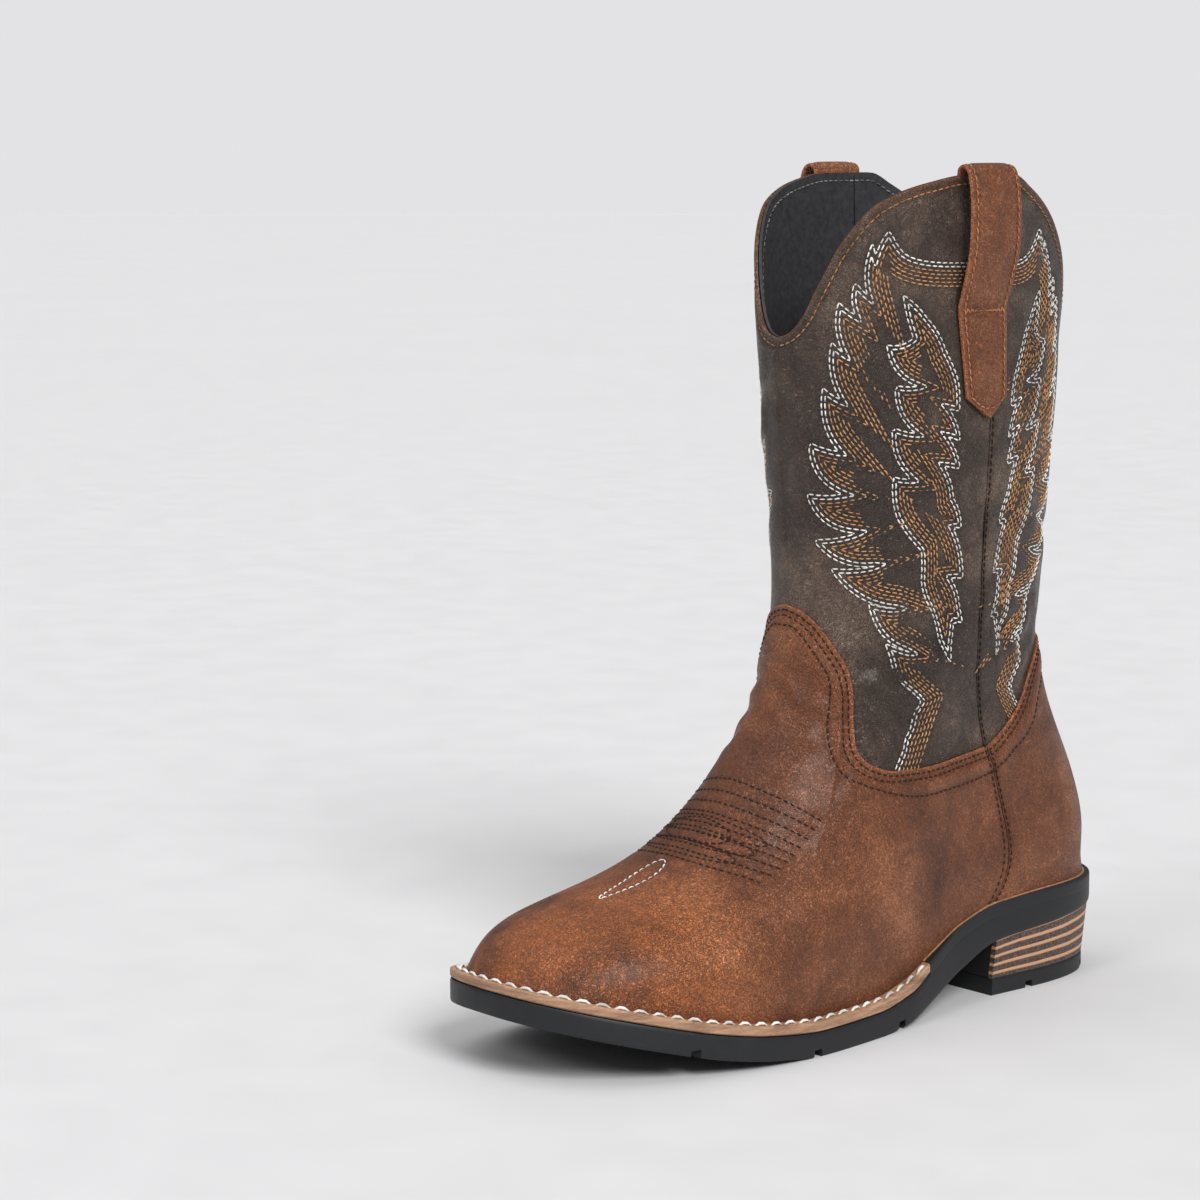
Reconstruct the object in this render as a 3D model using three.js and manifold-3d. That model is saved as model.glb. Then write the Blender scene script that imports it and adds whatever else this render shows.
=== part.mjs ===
// A pull-on western boot for the left foot, as an assembly of its cut, lasted and stacked pieces.
// Millimetres: x runs toward the toe, y toward the outer side of the foot, and z up.
// The origin is the middle of the heel tread, on the ground.
import * as THREE from "three";
import { mergeVertices } from "three/addons/utils/BufferGeometryUtils.js";
import Module from "manifold-3d";

const wasm = await Module();
wasm.setup();

// Driving dimensions.
const FOOT_LENGTH = 294; // the upper at the welt, heel to toe
const FOOT_WIDTH = 94; // the upper at the welt, across the ball
const TOPLINE_HEIGHT = 329; // ground to the highest point of the topline
const FRONT_DIP = 62; // how far the topline drops at the front
const BACK_DIP = 68; // and at the back
const LEATHER = 1.45; // vamp and heel foxing
const SHAFT_LEATHER = 1.5;
const LINING = 1.1;
const GAP = 0.3; // clearance between neighbouring pieces
const OVERLAP = 12; // how far the shaft runs down under the vamp
const LASTING_MARGIN = 12; // upper turned in under the insole
const WELT_THICKNESS = 4.2;
const WELT_LEDGE = 6; // welt showing beyond the upper
const WELT_END_X = 84; // where the welt stops at the waist
const INSOLE_THICKNESS = 2.5;
const FOOTBED_THICKNESS = 4;
const FOOTBED_COVER = 0.8;
const HEEL_LIFT = 6.8; // rubber top piece of the heel
const HEEL_STACK_BACK = 23.2; // heel block, at its back
const HEEL_STACK_BREAST = 16.5; // and at its breast
const HEEL_BREAST_X = 38;
const HEEL_TAPER = 2.2; // how far the heel draws in from its seat to the ground
const STACK_WRAP = 2.4; // stacked-leather band round the heel block
const SOLE_THICKNESS = 9.3; // rubber outsole under the ball
const LUG_DEPTH = 2.6;
const LUG_WIDTH = 4;
const STRAP_WIDTH = 26;
const STRAP_TAIL_WIDTH = 22;
const STRAP_THICKNESS = 2.2;
const STRAP_STANDOFF = 6; // finger room under a pull strap
const STRAP_RISE = 4.2; // how far a strap stands above the topline
const STRAP_SHIFT = 8.5; // how far the loop sits toward the toe from the side seam
const STRAP_TAIL_SHIFT = 3.5; // and the tip of its tail
const STRAP_TAIL = 94; // the outer tail, down from the topline
const STRAP_BAR = 52; // the bar stitch, down from the topline
const NAIL_RADIUS = 1.2;
const NAIL_HEAD = 2.4;
const NAIL_LENGTH = 20;

// The last: plan of the feather line, where the upper meets the welt, from the toe round the
// outer side to the heel and back along the inner side. Its own size is LAST_LENGTH by LAST_WIDTH.
const LAST_LENGTH = 294;
const LAST_WIDTH = 94;
const LAST_PLAN = [
  [259, -7], [258, 7], [249, 23], [229, 35.5], [196, 45.5], [158, 47.5], [118, 41.5], [80, 34.5],
  [42, 31.5], [4, 31], [-21, 24], [-32.5, 10.5], [-35.2, 0], [-32.5, -10.5], [-21, -23], [4, -29],
  [42, -29], [80, -29], [118, -35], [156, -43.5], [196, -48.5], [229, -45.5], [249, -37], [258, -22],
];
const LAST_HEEL_INDEX = 12;

// The sole in profile: x, height of the tread, thickness of rubber there beyond SOLE_THICKNESS.
const HEEL_SEAT_BACK = HEEL_LIFT + HEEL_STACK_BACK;
const HEEL_SEAT_BREAST = HEEL_LIFT + HEEL_STACK_BREAST;
const SOLE_PROFILE = [
  [-44, HEEL_SEAT_BACK, -3.3], [0, HEEL_SEAT_BREAST + 3.2, 0.7], [HEEL_BREAST_X, HEEL_SEAT_BREAST, 2.2],
  [60, 15.5, 4.7], [78, 8.2, 3.9], [98, 2, 1.7], [118, 0, 0.3], [150, 0, 0], [175, 2, 0], [200, 6, 0],
  [225, 12, -0.1], [262, 22, -0.5], [274, 25.4, -0.6],
];

// Width of the ledge of sole or welt that shows beyond the upper: x, share of WELT_LEDGE.
const LEDGE_PROFILE = [[-44, 0.6], [0, 0.35], [40, 0.15], [62, 0.25], [84, 0.7], [100, 1], [274, 1]];

// Cross-sections of the boot from the feather line (0) to above the topline. zb and zf are the
// heights at back and front, xb and xf its ends, w its half width, n how square its oval is, foot
// how much it keeps the plan of the last, pitch how much it follows the sole, rise its height
// above the sole, and seam where the side seam crosses it.
const TOP_SECTION_RISE = 15;
const SECTIONS = [
  { zb: 0, zf: 0, xb: -36, xf: 260, w: 48, n: 2, foot: 1, pitch: 1, rise: 0, seam: 40 },
  { zb: 0, zf: 0, xb: -33, xf: 254, w: 50, n: 2, foot: 1, pitch: 1, rise: 9, seam: 33 },
  { zb: 60, zf: 55, xb: -35, xf: 242, w: 48.5, n: 2, foot: 0.95, pitch: 0.75, rise: 21, seam: 30 },
  { zb: 78, zf: 67, xb: -32.5, xf: 191, w: 41, n: 2, foot: 0.85, pitch: 0.5, rise: 36, seam: 32 },
  { zb: 96, zf: 80, xb: -24.5, xf: 167.5, w: 37, n: 2, foot: 0.65, pitch: 0.3, rise: 52, seam: 36.5 },
  { zb: 114, zf: 96, xb: -15, xf: 149.5, w: 34.5, n: 2, foot: 0.4, pitch: 0.1, rise: 66, seam: 43 },
  { zb: 134, zf: 118, xb: -8.5, xf: 131, w: 33, n: 2, foot: 0.2, pitch: 0, rise: 0, seam: 48 },
  { zb: 156, zf: 146, xb: -9.5, xf: 122, w: 35, n: 2.15, foot: 0.05, pitch: 0, rise: 0, seam: 50 },
  { zb: 182, zf: 178, xb: -11.5, xf: 121, w: 36.5, n: 2.15, foot: 0, pitch: 0, rise: 0, seam: 50.5 },
  { up: 0.35, xb: -14, xf: 125, w: 38.5, n: 2.15, foot: 0, pitch: 0, rise: 0, seam: 50.5 },
  { up: 0.55, xb: -17, xf: 128, w: 40.2, n: 2.15, foot: 0, pitch: 0, rise: 0, seam: 50.5 },
  { up: 0.77, xb: -19, xf: 131, w: 41.5, n: 2.15, foot: 0, pitch: 0, rise: 0, seam: 50.5 },
  { up: 1, xb: -20.5, xf: 133, w: 42.5, n: 2.15, foot: 0, pitch: 0, rise: 0, seam: 50.5 },
];
const SHAFT_FOOT_HEIGHT = 143; // where the sections marked "up" start to share the shaft's height

// Edges drawn on the boot, as girth and height. Girth is 0 at the front, 1 at a side seam and 2
// at the back.
const VAMP_EDGE = [
  [0, 163.5], [0.07, 162], [0.15, 157.5], [0.24, 148], [0.31, 139], [0.34, 131], [0.365, 119],
  [0.4, 109], [0.47, 102.5], [0.57, 99.3], [0.7, 99], [0.88, 101], [1, 102.6], [1.21, 109.5],
  [1.39, 118], [1.56, 130], [1.75, 139.5], [2, 144],
];
// Share of the front or back dip that is left at each girth.
const TOPLINE_DIP = [
  [0, 1], [0.06, 0.97], [0.12, 0.88], [0.19, 0.68], [0.29, 0.41], [0.44, 0.17], [0.65, 0.05],
  [0.85, 0], [1.1, 0], [1.22, 0.07], [1.38, 0.2], [1.55, 0.4], [1.71, 0.65], [1.86, 0.92], [2, 1],
];

const RUBBER = { color: 0x26272a, roughness: 0.75, metalness: 0 };
const BROWN = { color: 0x7a4a30, roughness: 0.55, metalness: 0 };
const DARK = { color: 0x3f322b, roughness: 0.55, metalness: 0 };
const BLACK = { color: 0x1d1d20, roughness: 0.8, metalness: 0 };
const TAN = { color: 0xb98f6e, roughness: 0.7, metalness: 0 };
const BOARD = { color: 0xa58a64, roughness: 0.9, metalness: 0 };
const STEEL = { color: 0x9a9da1, roughness: 0.35, metalness: 1 };

const lengthScale = FOOT_LENGTH / LAST_LENGTH;
const widthScale = FOOT_WIDTH / LAST_WIDTH;
const clamp = THREE.MathUtils.clamp;
const lerp = THREE.MathUtils.lerp;

// A smooth curve through [x, y] points that keeps level stretches level (Fritsch-Carlson).
function smoothThrough(points) {
  const count = points.length;
  const width = [];
  const slope = [];
  for (let i = 0; i < count - 1; i++) {
    width.push(points[i + 1][0] - points[i][0]);
    slope.push((points[i + 1][1] - points[i][1]) / width[i]);
  }
  const tangent = [slope[0]];
  for (let i = 1; i < count - 1; i++) {
    const a = 2 * width[i] + width[i - 1];
    const b = width[i] + 2 * width[i - 1];
    tangent.push(slope[i - 1] * slope[i] > 0 ? (a + b) / (a / slope[i - 1] + b / slope[i]) : 0);
  }
  tangent.push(slope[count - 2]);
  return (x) => {
    let i = 0;
    while (i < count - 2 && x > points[i + 1][0]) i++;
    const t = clamp((x - points[i][0]) / width[i], 0, 1);
    const near = (2 * t ** 3 - 3 * t ** 2 + 1) * points[i][1];
    const far = (3 * t ** 2 - 2 * t ** 3) * points[i + 1][1];
    const leaving = (t ** 3 - 2 * t ** 2 + t) * tangent[i];
    const arriving = (t ** 3 - t ** 2) * tangent[i + 1];
    return near + far + width[i] * (leaving + arriving);
  };
}

// x in the profiles is on the last's own length, apart from the heel breast, which stays put.
const alongSole = (x) => (x <= HEEL_BREAST_X ? x : HEEL_BREAST_X + (x - HEEL_BREAST_X) * lengthScale);
const treadHeight = smoothThrough(SOLE_PROFILE.map(([x, z]) => [alongSole(x), z]));
const soleTop = smoothThrough(
  SOLE_PROFILE.map(([x, z, extra]) => [alongSole(x), z + SOLE_THICKNESS + extra]),
);
const feather = (x) => soleTop(x) + WELT_THICKNESS;
const ledge = smoothThrough(LEDGE_PROFILE.map(([x, share]) => [alongSole(x), share * WELT_LEDGE]));
const vampEdge = smoothThrough(VAMP_EDGE);
const toplineDip = smoothThrough(TOPLINE_DIP);
const topline = (girth) => TOPLINE_HEIGHT - toplineDip(girth) * (girth < 1 ? FRONT_DIP : BACK_DIP);

// Weights of a uniform cubic B-spline at u from 0 to 1 between its second and third points.
function splineWeights(u) {
  const v = 1 - u;
  return [v ** 3, 3 * u ** 3 - 6 * u ** 2 + 4, 3 * v ** 3 - 6 * v ** 2 + 4, u ** 3].map((a) => a / 6);
}

const PLAN_STEPS = 12; // points on each span of the plan
const HALF_STEPS = 60; // points on each half of a cross-section

function closedSpline(points) {
  const out = [];
  const count = points.length;
  for (let i = 0; i < count; i++)
    for (let k = 0; k < PLAN_STEPS; k++) {
      const weight = splineWeights(k / PLAN_STEPS);
      const near = [-1, 0, 1, 2].map((d) => points[(i + d + count) % count]);
      out.push([0, 1].map((c) => near.reduce((sum, point, j) => sum + weight[j] * point[c], 0)));
    }
  return out;
}

// A polyline with its points evenly spaced.
function evenly(points, count) {
  const along = [0];
  for (let i = 1; i < points.length; i++)
    along.push(along[i - 1] + Math.hypot(...points[i].map((c, k) => c - points[i - 1][k])));
  const total = along[along.length - 1];
  const out = [];
  let j = 0;
  for (let i = 0; i < count; i++) {
    const target = (total * i) / (count - 1);
    while (j < points.length - 2 && along[j + 1] < target) j++;
    const t = clamp((target - along[j]) / (along[j + 1] - along[j]), 0, 1);
    out.push(points[j].map((c, k) => lerp(c, points[j + 1][k], t)));
  }
  return out;
}

const plan = closedSpline(LAST_PLAN);
const planSplit = LAST_HEEL_INDEX * PLAN_STEPS;
const outerPlan = plan.slice(0, planSplit + 1);
const innerPlan = [...plan.slice(planSplit), plan[0]].reverse();
const PLAN_FRONT = outerPlan[0][0];
const PLAN_BACK = outerPlan[planSplit][0];
const PLAN_HALF_WIDTH = LAST_WIDTH / 2;

// One side of a cross-section, from its front to its back, in three dimensions.
function sectionSide(section, side) {
  const { xb, xf, w, n, foot, pitch, rise } = section;
  const lastSide = evenly(side > 0 ? outerPlan : innerPlan, 2 * HALF_STEPS + 1);
  const oval = [];
  for (let i = 0; i <= 4 * HALF_STEPS; i++) {
    const angle = (Math.PI * i) / (4 * HALF_STEPS);
    oval.push([(xb + xf) / 2 + ((xf - xb) / 2) * Math.cos(angle), side * w * Math.sin(angle) ** (2 / n)]);
  }
  const ovalSide = evenly(oval, 2 * HALF_STEPS + 1);
  const shaftFoot = TOPLINE_HEIGHT + TOP_SECTION_RISE - SHAFT_FOOT_HEIGHT;
  const back = section.up === undefined ? section.zb : SHAFT_FOOT_HEIGHT + section.up * shaftFoot;
  const front = section.up === undefined ? section.zf : back;
  return lastSide.map(([lastX, lastY], i) => {
    const footX = xb + ((lastX - PLAN_BACK) * (xf - xb)) / (PLAN_FRONT - PLAN_BACK);
    const x = foot * footX + (1 - foot) * ovalSide[i][0];
    const y = (foot * lastY * w) / PLAN_HALF_WIDTH + (1 - foot) * ovalSide[i][1];
    const free = back + ((front - back) * (x - xb)) / (xf - xb);
    const z = pitch * (feather(x * lengthScale) + rise) + (1 - pitch) * free;
    return [x * lengthScale, y * widthScale, z];
  });
}

// The same, spaced evenly from the front to the side seam and from there to the back.
function splitAtSeam(points, seamX) {
  const after = points.findIndex((point) => point[0] < seamX);
  const t = (points[after - 1][0] - seamX) / (points[after - 1][0] - points[after][0]);
  const seam = points[after].map((c, k) => lerp(points[after - 1][k], c, t));
  const front = evenly([...points.slice(0, after), seam], HALF_STEPS + 1);
  const back = evenly([seam, ...points.slice(after)], HALF_STEPS + 1);
  return [...front, ...back.slice(1)];
}

function sideGrid(side) {
  const rows = SECTIONS.map((section) => splitAtSeam(sectionSide(section, side), section.seam * lengthScale));
  const beyond = (a, b) => a.map((point, i) => point.map((c, k) => 2 * c - b[i][k]));
  const last = rows.length - 1;
  return [beyond(rows[0], rows[1]), ...rows, beyond(rows[last], rows[last - 1])];
}

const outerGrid = sideGrid(1);
const innerGrid = sideGrid(-1);
const TOP_LEVEL = SECTIONS.length - 1;

// The boot's reference surface, the outer face of the shaft. Girth runs from -2 at the back along
// the inner side to 0 at the front and on along the outer side to 2; level counts the sections.
function surface(girth, level) {
  const wrapped = girth > 2 ? girth - 4 : girth;
  const grid = wrapped < 0 ? innerGrid : outerGrid;
  const place = clamp(Math.abs(wrapped), 0, 2) * HALF_STEPS;
  const i = Math.min(Math.floor(place), 2 * HALF_STEPS - 1);
  const level0 = clamp(level, 0, TOP_LEVEL);
  const j = Math.min(Math.floor(level0), TOP_LEVEL - 1);
  const weight = splineWeights(level0 - j);
  const out = new THREE.Vector3();
  for (let m = 0; m < 4; m++) {
    const row = grid[j + m];
    for (const [point, share] of [[row[i], 1 - (place - i)], [row[i + 1], place - i]])
      out.addScaledVector(new THREE.Vector3(...point), weight[m] * share);
  }
  return out;
}

const NUDGE = 0.004;

function outward(girth, level) {
  const round = surface(girth + NUDGE, level).sub(surface(girth - NUDGE, level));
  const up = surface(girth, level + NUDGE).sub(surface(girth, level - NUDGE));
  return round.cross(up).normalize();
}

// A point at a distance out from the reference surface.
function offSurface(girth, level, distance) {
  return surface(girth, level).addScaledVector(outward(girth, level), distance);
}

function levelAtHeight(girth, height) {
  let low = 0;
  let high = TOP_LEVEL;
  for (let i = 0; i < 24; i++) {
    const middle = (low + high) / 2;
    if (surface(girth, middle).z < height) low = middle;
    else high = middle;
  }
  return (low + high) / 2;
}

// Distances of the layers from the reference surface, outermost first.
const COVER_IN = 2 * GAP;
const COVER_OUT = COVER_IN + LEATHER;
const LINING_OUT = -SHAFT_LEATHER - 1.4 * GAP;
const LINING_IN = LINING_OUT - LINING;
// Heights under the insole, from the feather line down.
const FLANGE_BOTTOM = -WELT_THICKNESS + 2 * GAP;
const FLANGE_TOP = FLANGE_BOTTOM + LEATHER;
const INSOLE_BOTTOM = FLANGE_TOP + 2 * GAP;
const INSOLE_TOP = INSOLE_BOTTOM + INSOLE_THICKNESS;
const LINING_START = INSOLE_TOP + 1.5 * GAP;

const boot = new THREE.Group();

function merged(geometry) {
  geometry.deleteAttribute("normal");
  geometry.deleteAttribute("uv");
  return mergeVertices(geometry, 1e-4);
}

function signedVolume(geometry) {
  const { array } = geometry.attributes.position;
  const corner = (k) => new THREE.Vector3().fromArray(array, 3 * geometry.index.array[k]);
  let sum = 0;
  for (let k = 0; k < geometry.index.count; k += 3)
    sum += corner(k).dot(corner(k + 1).cross(corner(k + 2)));
  return sum / 6;
}

// A box of nu by nv by nw cells bent so that place(u, v, w) gives each of its points. The cells of
// its far face are cut along the same diagonal as those of its near face, so layers stay parallel.
function bentBox(nu, nv, nw, place) {
  const cells = new THREE.BoxGeometry(1, 1, 1, nu, nv, nw);
  const far = cells.groups[5];
  const corners = cells.index.array;
  for (let k = far.start; k < far.start + far.count; k += 6) {
    const [a, b, d, , c] = corners.slice(k, k + 6);
    corners.set([a, b, c, a, c, d], k);
  }
  const geometry = merged(cells);
  const { position } = geometry.attributes;
  for (let i = 0; i < position.count; i++) {
    const point = place(position.getX(i) + 0.5, position.getY(i) + 0.5, position.getZ(i) + 0.5);
    position.setXYZ(i, point.x, point.y, point.z);
  }
  if (signedVolume(geometry) < 0) {
    const { array } = geometry.index;
    for (let k = 0; k < array.length; k += 3)
      [array[k + 1], array[k + 2]] = [array[k + 2], array[k + 1]];
  }
  return geometry;
}

function solid(geometry) {
  const clean = geometry.attributes.normal ? merged(geometry.clone()) : geometry;
  return new wasm.Manifold(
    new wasm.Mesh({
      numProp: 3,
      vertProperties: new Float32Array(clean.attributes.position.array),
      triVerts: new Uint32Array(clean.index.array),
    }),
  );
}

function geometryOf(manifold) {
  const mesh = manifold.getMesh();
  const geometry = new THREE.BufferGeometry();
  geometry.setAttribute("position", new THREE.BufferAttribute(mesh.vertProperties, 3));
  geometry.setIndex(new THREE.BufferAttribute(mesh.triVerts, 1));
  return geometry;
}

function addPiece(name, geometry, look) {
  geometry.computeVertexNormals();
  const mesh = new THREE.Mesh(geometry, new THREE.MeshStandardMaterial(look));
  mesh.name = name;
  boot.add(mesh);
}

const SEAM_GAP = 0.003; // half the gap at a side seam, in girth
const FRONT_COLUMNS = 28;
const BACK_COLUMNS = 20;
const FOOT_ROWS = 8; // from the feather line to the bottom of the shaft
const SHAFT_ROWS = 9; // from the join of the linings to the topline
const LINING_JOIN = 6; // the two linings meet this far under the vamp's edge
const JOIN_GAP = 0.06; // gap between two pieces that meet end to end, in rows

const foldGirth = (girth) => (girth > 2 ? 4 - girth : Math.abs(girth));
const levelOf = (curve, shift) => (girth) => levelAtHeight(girth, curve(foldGirth(girth)) + shift);
const shaftBottom = levelOf(vampEdge, -OVERLAP);
const liningJoin = levelOf(vampEdge, -LINING_JOIN);
const coverTop = levelOf(vampEdge, 0);
const shaftTop = levelOf(topline, 0);

function girthsOf(from, to, columns) {
  return Array.from({ length: columns + 1 }, (_, i) => lerp(from, to, i / columns));
}

const FRONT = girthsOf(-1 + SEAM_GAP, 1 - SEAM_GAP, FRONT_COLUMNS);
const BACK = girthsOf(1 + SEAM_GAP, 3 - SEAM_GAP, BACK_COLUMNS);

// Every layer of the upper is cut on one net of columns and rows, so that neighbours bend at the
// same places and keep their clearance. Rows run from the feather line (0) to the bottom of the
// shaft (FOOT_ROWS), the join of the linings (one more) and the topline.
const JOIN_ROW = FOOT_ROWS + 1;
const TOP_ROW = JOIN_ROW + SHAFT_ROWS;

function netLevel(girth, row) {
  if (row <= FOOT_ROWS) return (shaftBottom(girth) * row) / FOOT_ROWS;
  if (row <= JOIN_ROW) return lerp(shaftBottom(girth), liningJoin(girth), row - FOOT_ROWS);
  return lerp(liningJoin(girth), shaftTop(girth), (row - JOIN_ROW) / SHAFT_ROWS);
}

// Where all layers inside the leather clear the insole.
function liningStart(girth) {
  let low = 0;
  let high = 2;
  for (let i = 0; i < 20; i++) {
    const middle = (low + high) / 2;
    const faces = [0, LINING_IN].map((distance) => offSurface(girth, middle, distance));
    if (faces.some((point) => point.z < feather(point.x) + LINING_START)) low = middle;
    else high = middle;
  }
  return high;
}

const rowsOf = (from, to) => Array.from({ length: Math.round(to - from) + 1 }, (_, i) => from + i);
const footRows = (to) => [liningStart, ...rowsOf(1, to)];
const levelAtRow = (girth, row) => (typeof row === "function" ? row(girth) : netLevel(girth, row));

// A panel of the upper over given girths and rows, as thick as its layer. A row is a number of
// the net or a curve of its own.
function panel(girths, rows, outer, inner) {
  const columns = girths.length - 1;
  const last = rows.length - 1;
  return bentBox(columns, last, 1, (u, v, w) => {
    const girth = girths[Math.round(u * columns)];
    return offSurface(girth, levelAtRow(girth, rows[Math.round(v * last)]), lerp(inner, outer, w));
  });
}

// The same for a lasted piece: its lowest rows turn in under the insole as the lasting margin.
// Each row gives the distance out and the height from the feather line of its two faces.
const MARGIN_ROWS = [
  { out: [COVER_IN - LASTING_MARGIN, COVER_OUT - LASTING_MARGIN], rise: [FLANGE_TOP, FLANGE_BOTTOM] },
  { out: [COVER_IN - 1.6, COVER_OUT - 2.4], rise: [FLANGE_TOP, FLANGE_BOTTOM] },
  { out: [COVER_IN - 0.25, COVER_OUT - 0.35], rise: [FLANGE_TOP + 1, FLANGE_BOTTOM + 1.1] },
];

function lastedPanel(girths, rows) {
  const columns = girths.length - 1;
  const margin = MARGIN_ROWS.length;
  const last = rows.length - 1 + margin;
  return bentBox(columns, last, 1, (u, v, w) => {
    const girth = girths[Math.round(u * columns)];
    const row = Math.round(v * last);
    if (row >= margin)
      return offSurface(girth, levelAtRow(girth, rows[row - margin]), lerp(COVER_IN, COVER_OUT, w));
    const { out, rise } = MARGIN_ROWS[row];
    const away = outward(girth, 0).setZ(0).normalize();
    const point = surface(girth, 0).addScaledVector(away, lerp(out[0], out[1], w));
    return point.setZ(feather(point.x) + lerp(rise[0], rise[1], w));
  });
}

function shaftPanels() {
  const rows = rowsOf(FOOT_ROWS, TOP_ROW);
  addPiece("shaft_front", panel(FRONT, rows, 0, -SHAFT_LEATHER), DARK);
  addPiece("shaft_back", panel(BACK, rows, 0, -SHAFT_LEATHER), DARK);
}

function shaftLinings() {
  const rows = [JOIN_ROW + JOIN_GAP, ...rowsOf(JOIN_ROW + 1, TOP_ROW)];
  addPiece("shaft_lining_front", panel(FRONT, rows, LINING_OUT, LINING_IN), BLACK);
  addPiece("shaft_lining_back", panel(BACK, rows, LINING_OUT, LINING_IN), BLACK);
}

function vampAndFoxing() {
  const rows = [...rowsOf(0, JOIN_ROW), coverTop];
  addPiece("vamp", lastedPanel(FRONT, rows), BROWN);
  addPiece("heel_foxing", lastedPanel(BACK, rows), BROWN);
}

function footLinings() {
  addPiece("vamp_lining", panel(FRONT, footRows(JOIN_ROW), LINING_OUT, LINING_IN), BLACK);
  addPiece("heel_lining", panel(BACK, footRows(JOIN_ROW), LINING_OUT, LINING_IN), BLACK);
}

// Hidden between the leather and the lining, in columns and rows of the net.
const PUFF_COLUMNS = 4; // each side of the toe's middle
const PUFF_ROWS = 3;
const COUNTER_COLUMNS = 4; // how far the counter's wings run into the front, past the side seams
const COUNTER_ROWS = 5;
const STIFFENER_THICKNESS = 1.3;
const BACKING = [-0.4, -1.2];

function stiffeners() {
  const middle = FRONT_COLUMNS / 2;
  const toe = FRONT.slice(middle - PUFF_COLUMNS, middle + PUFF_COLUMNS + 1);
  addPiece("toe_puff", panel(toe, footRows(PUFF_ROWS), 0, -STIFFENER_THICKNESS), BOARD);
  const outerWing = FRONT.slice(-COUNTER_COLUMNS - 1, -1);
  const innerWing = FRONT.slice(1, COUNTER_COLUMNS + 1).map((girth) => girth + 4);
  const heelGirths = [...outerWing, ...BACK, ...innerWing];
  addPiece("heel_counter", panel(heelGirths, footRows(COUNTER_ROWS), 0, -STIFFENER_THICKNESS), BOARD);
}

// A cloth backing on the vamp, between the toe puff, the heel counter and the shaft.
function vampBacking() {
  const cloth = FRONT.slice(COUNTER_COLUMNS + 2, -COUNTER_COLUMNS - 2);
  const rows = [PUFF_ROWS + JOIN_GAP, ...rowsOf(PUFF_ROWS + 1, FOOT_ROWS - 1), FOOT_ROWS - JOIN_GAP];
  addPiece("vamp_backing", panel(cloth, rows, ...BACKING), BLACK);
}

// Outline of the plan at a distance out from the feather line, split into its two sides.
function offsetSides(distance) {
  const { xb, xf, w } = SECTIONS[0];
  const stretch = (xf - xb) / (PLAN_FRONT - PLAN_BACK);
  const whole = [...outerPlan, ...innerPlan.slice(1, -1).reverse()].map(([x, y]) => [
    (xb + (x - PLAN_BACK) * stretch) * lengthScale,
    ((y * w) / PLAN_HALF_WIDTH) * widthScale,
  ]);
  const count = whole.length;
  const moved = whole.map(([x, y], i) => {
    const before = whole[(i - 1 + count) % count];
    const after = whole[(i + 1) % count];
    const away = new THREE.Vector2(after[1] - before[1], before[0] - after[0]).normalize();
    const reach = distance(x);
    return [x + away.x * reach, y + away.y * reach];
  });
  return { outer: moved.slice(0, planSplit + 1), inner: [...moved.slice(planSplit), moved[0]].reverse() };
}

// Where one side of an outline is at x.
function widthAt(points, x) {
  let best = 0;
  for (let i = 1; i < points.length; i++) {
    const [ax, ay] = points[i - 1];
    const [bx, by] = points[i];
    if ((ax - x) * (bx - x) > 0 || ax === bx) continue;
    const y = ay + ((by - ay) * (x - ax)) / (bx - ax);
    if (best === 0 || Math.abs(y) > Math.abs(best)) best = y;
  }
  return best;
}

const END_TRIM = 0.25;
const HEEL_HALF_WIDTH = 34;

// A plate with the plan of an offset outline, between two heights that change along the foot.
// draw is how far its edge draws in at its underside, and beyond is the share of its height by
// which it runs on past both of them, along the same taper.
function plate({ distance, bottom, top, from, to, columns = 34, draw = 0, beyond = 0 }) {
  const { outer, inner } = offsetSides(distance);
  const back = from === undefined ? outer[outer.length - 1][0] + END_TRIM : from;
  const front = to === undefined ? outer[0][0] - END_TRIM : to;
  const bothRound = (u) => (1 - Math.cos(Math.PI * u)) / 2;
  const backRound = (u) => 1 - Math.cos((Math.PI * u) / 2);
  const frontRound = (u) => Math.sin((Math.PI * u) / 2);
  const spread = back === from ? frontRound : front === to ? backRound : bothRound;
  return bentBox(columns, 1, 1, (u, v, w) => {
    const x = lerp(back, front, spread(u));
    const high = 0.5 + (w - 0.5) * (1 + 2 * beyond);
    const drawn = (1 - high) * draw;
    const y = lerp(widthAt(inner, x), widthAt(outer, x), v) * (1 - drawn / HEEL_HALF_WIDTH);
    return new THREE.Vector3(x + drawn * (1 - spread(u)), y, lerp(bottom(x), top(x), high));
  });
}

const UPPER_FOOT = COVER_OUT; // the upper's outer face beyond the feather line
const soleEdge = (x) => UPPER_FOOT + ledge(x);
const inside = (distance) => () => -distance;
const above = (height) => (x) => feather(x) + height;
const SEAT_RECESS = UPPER_FOOT + GAP;

function box(x0, x1, y0, y1, z0, z1) {
  const geometry = new THREE.BoxGeometry(x1 - x0, y1 - y0, z1 - z0);
  geometry.translate((x0 + x1) / 2, (y0 + y1) / 2, (z0 + z1) / 2);
  return geometry;
}

const NAIL_SPOTS = [
  { name: "heel_nail_1", x: -12, y: 9 },
  { name: "heel_nail_2", x: -12, y: -9 },
  { name: "heel_nail_3", x: 24, y: 13 },
  { name: "heel_nail_4", x: 24, y: -13 },
  { name: "heel_screw", x: 5, y: 0 },
];
const NAIL_HEAD_THICKNESS = 1;
const NAIL_SIDES = 12;
const NAIL_HOLE_LENGTH = NAIL_LENGTH + 4; // from a little above the seat to past the nail's point

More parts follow.
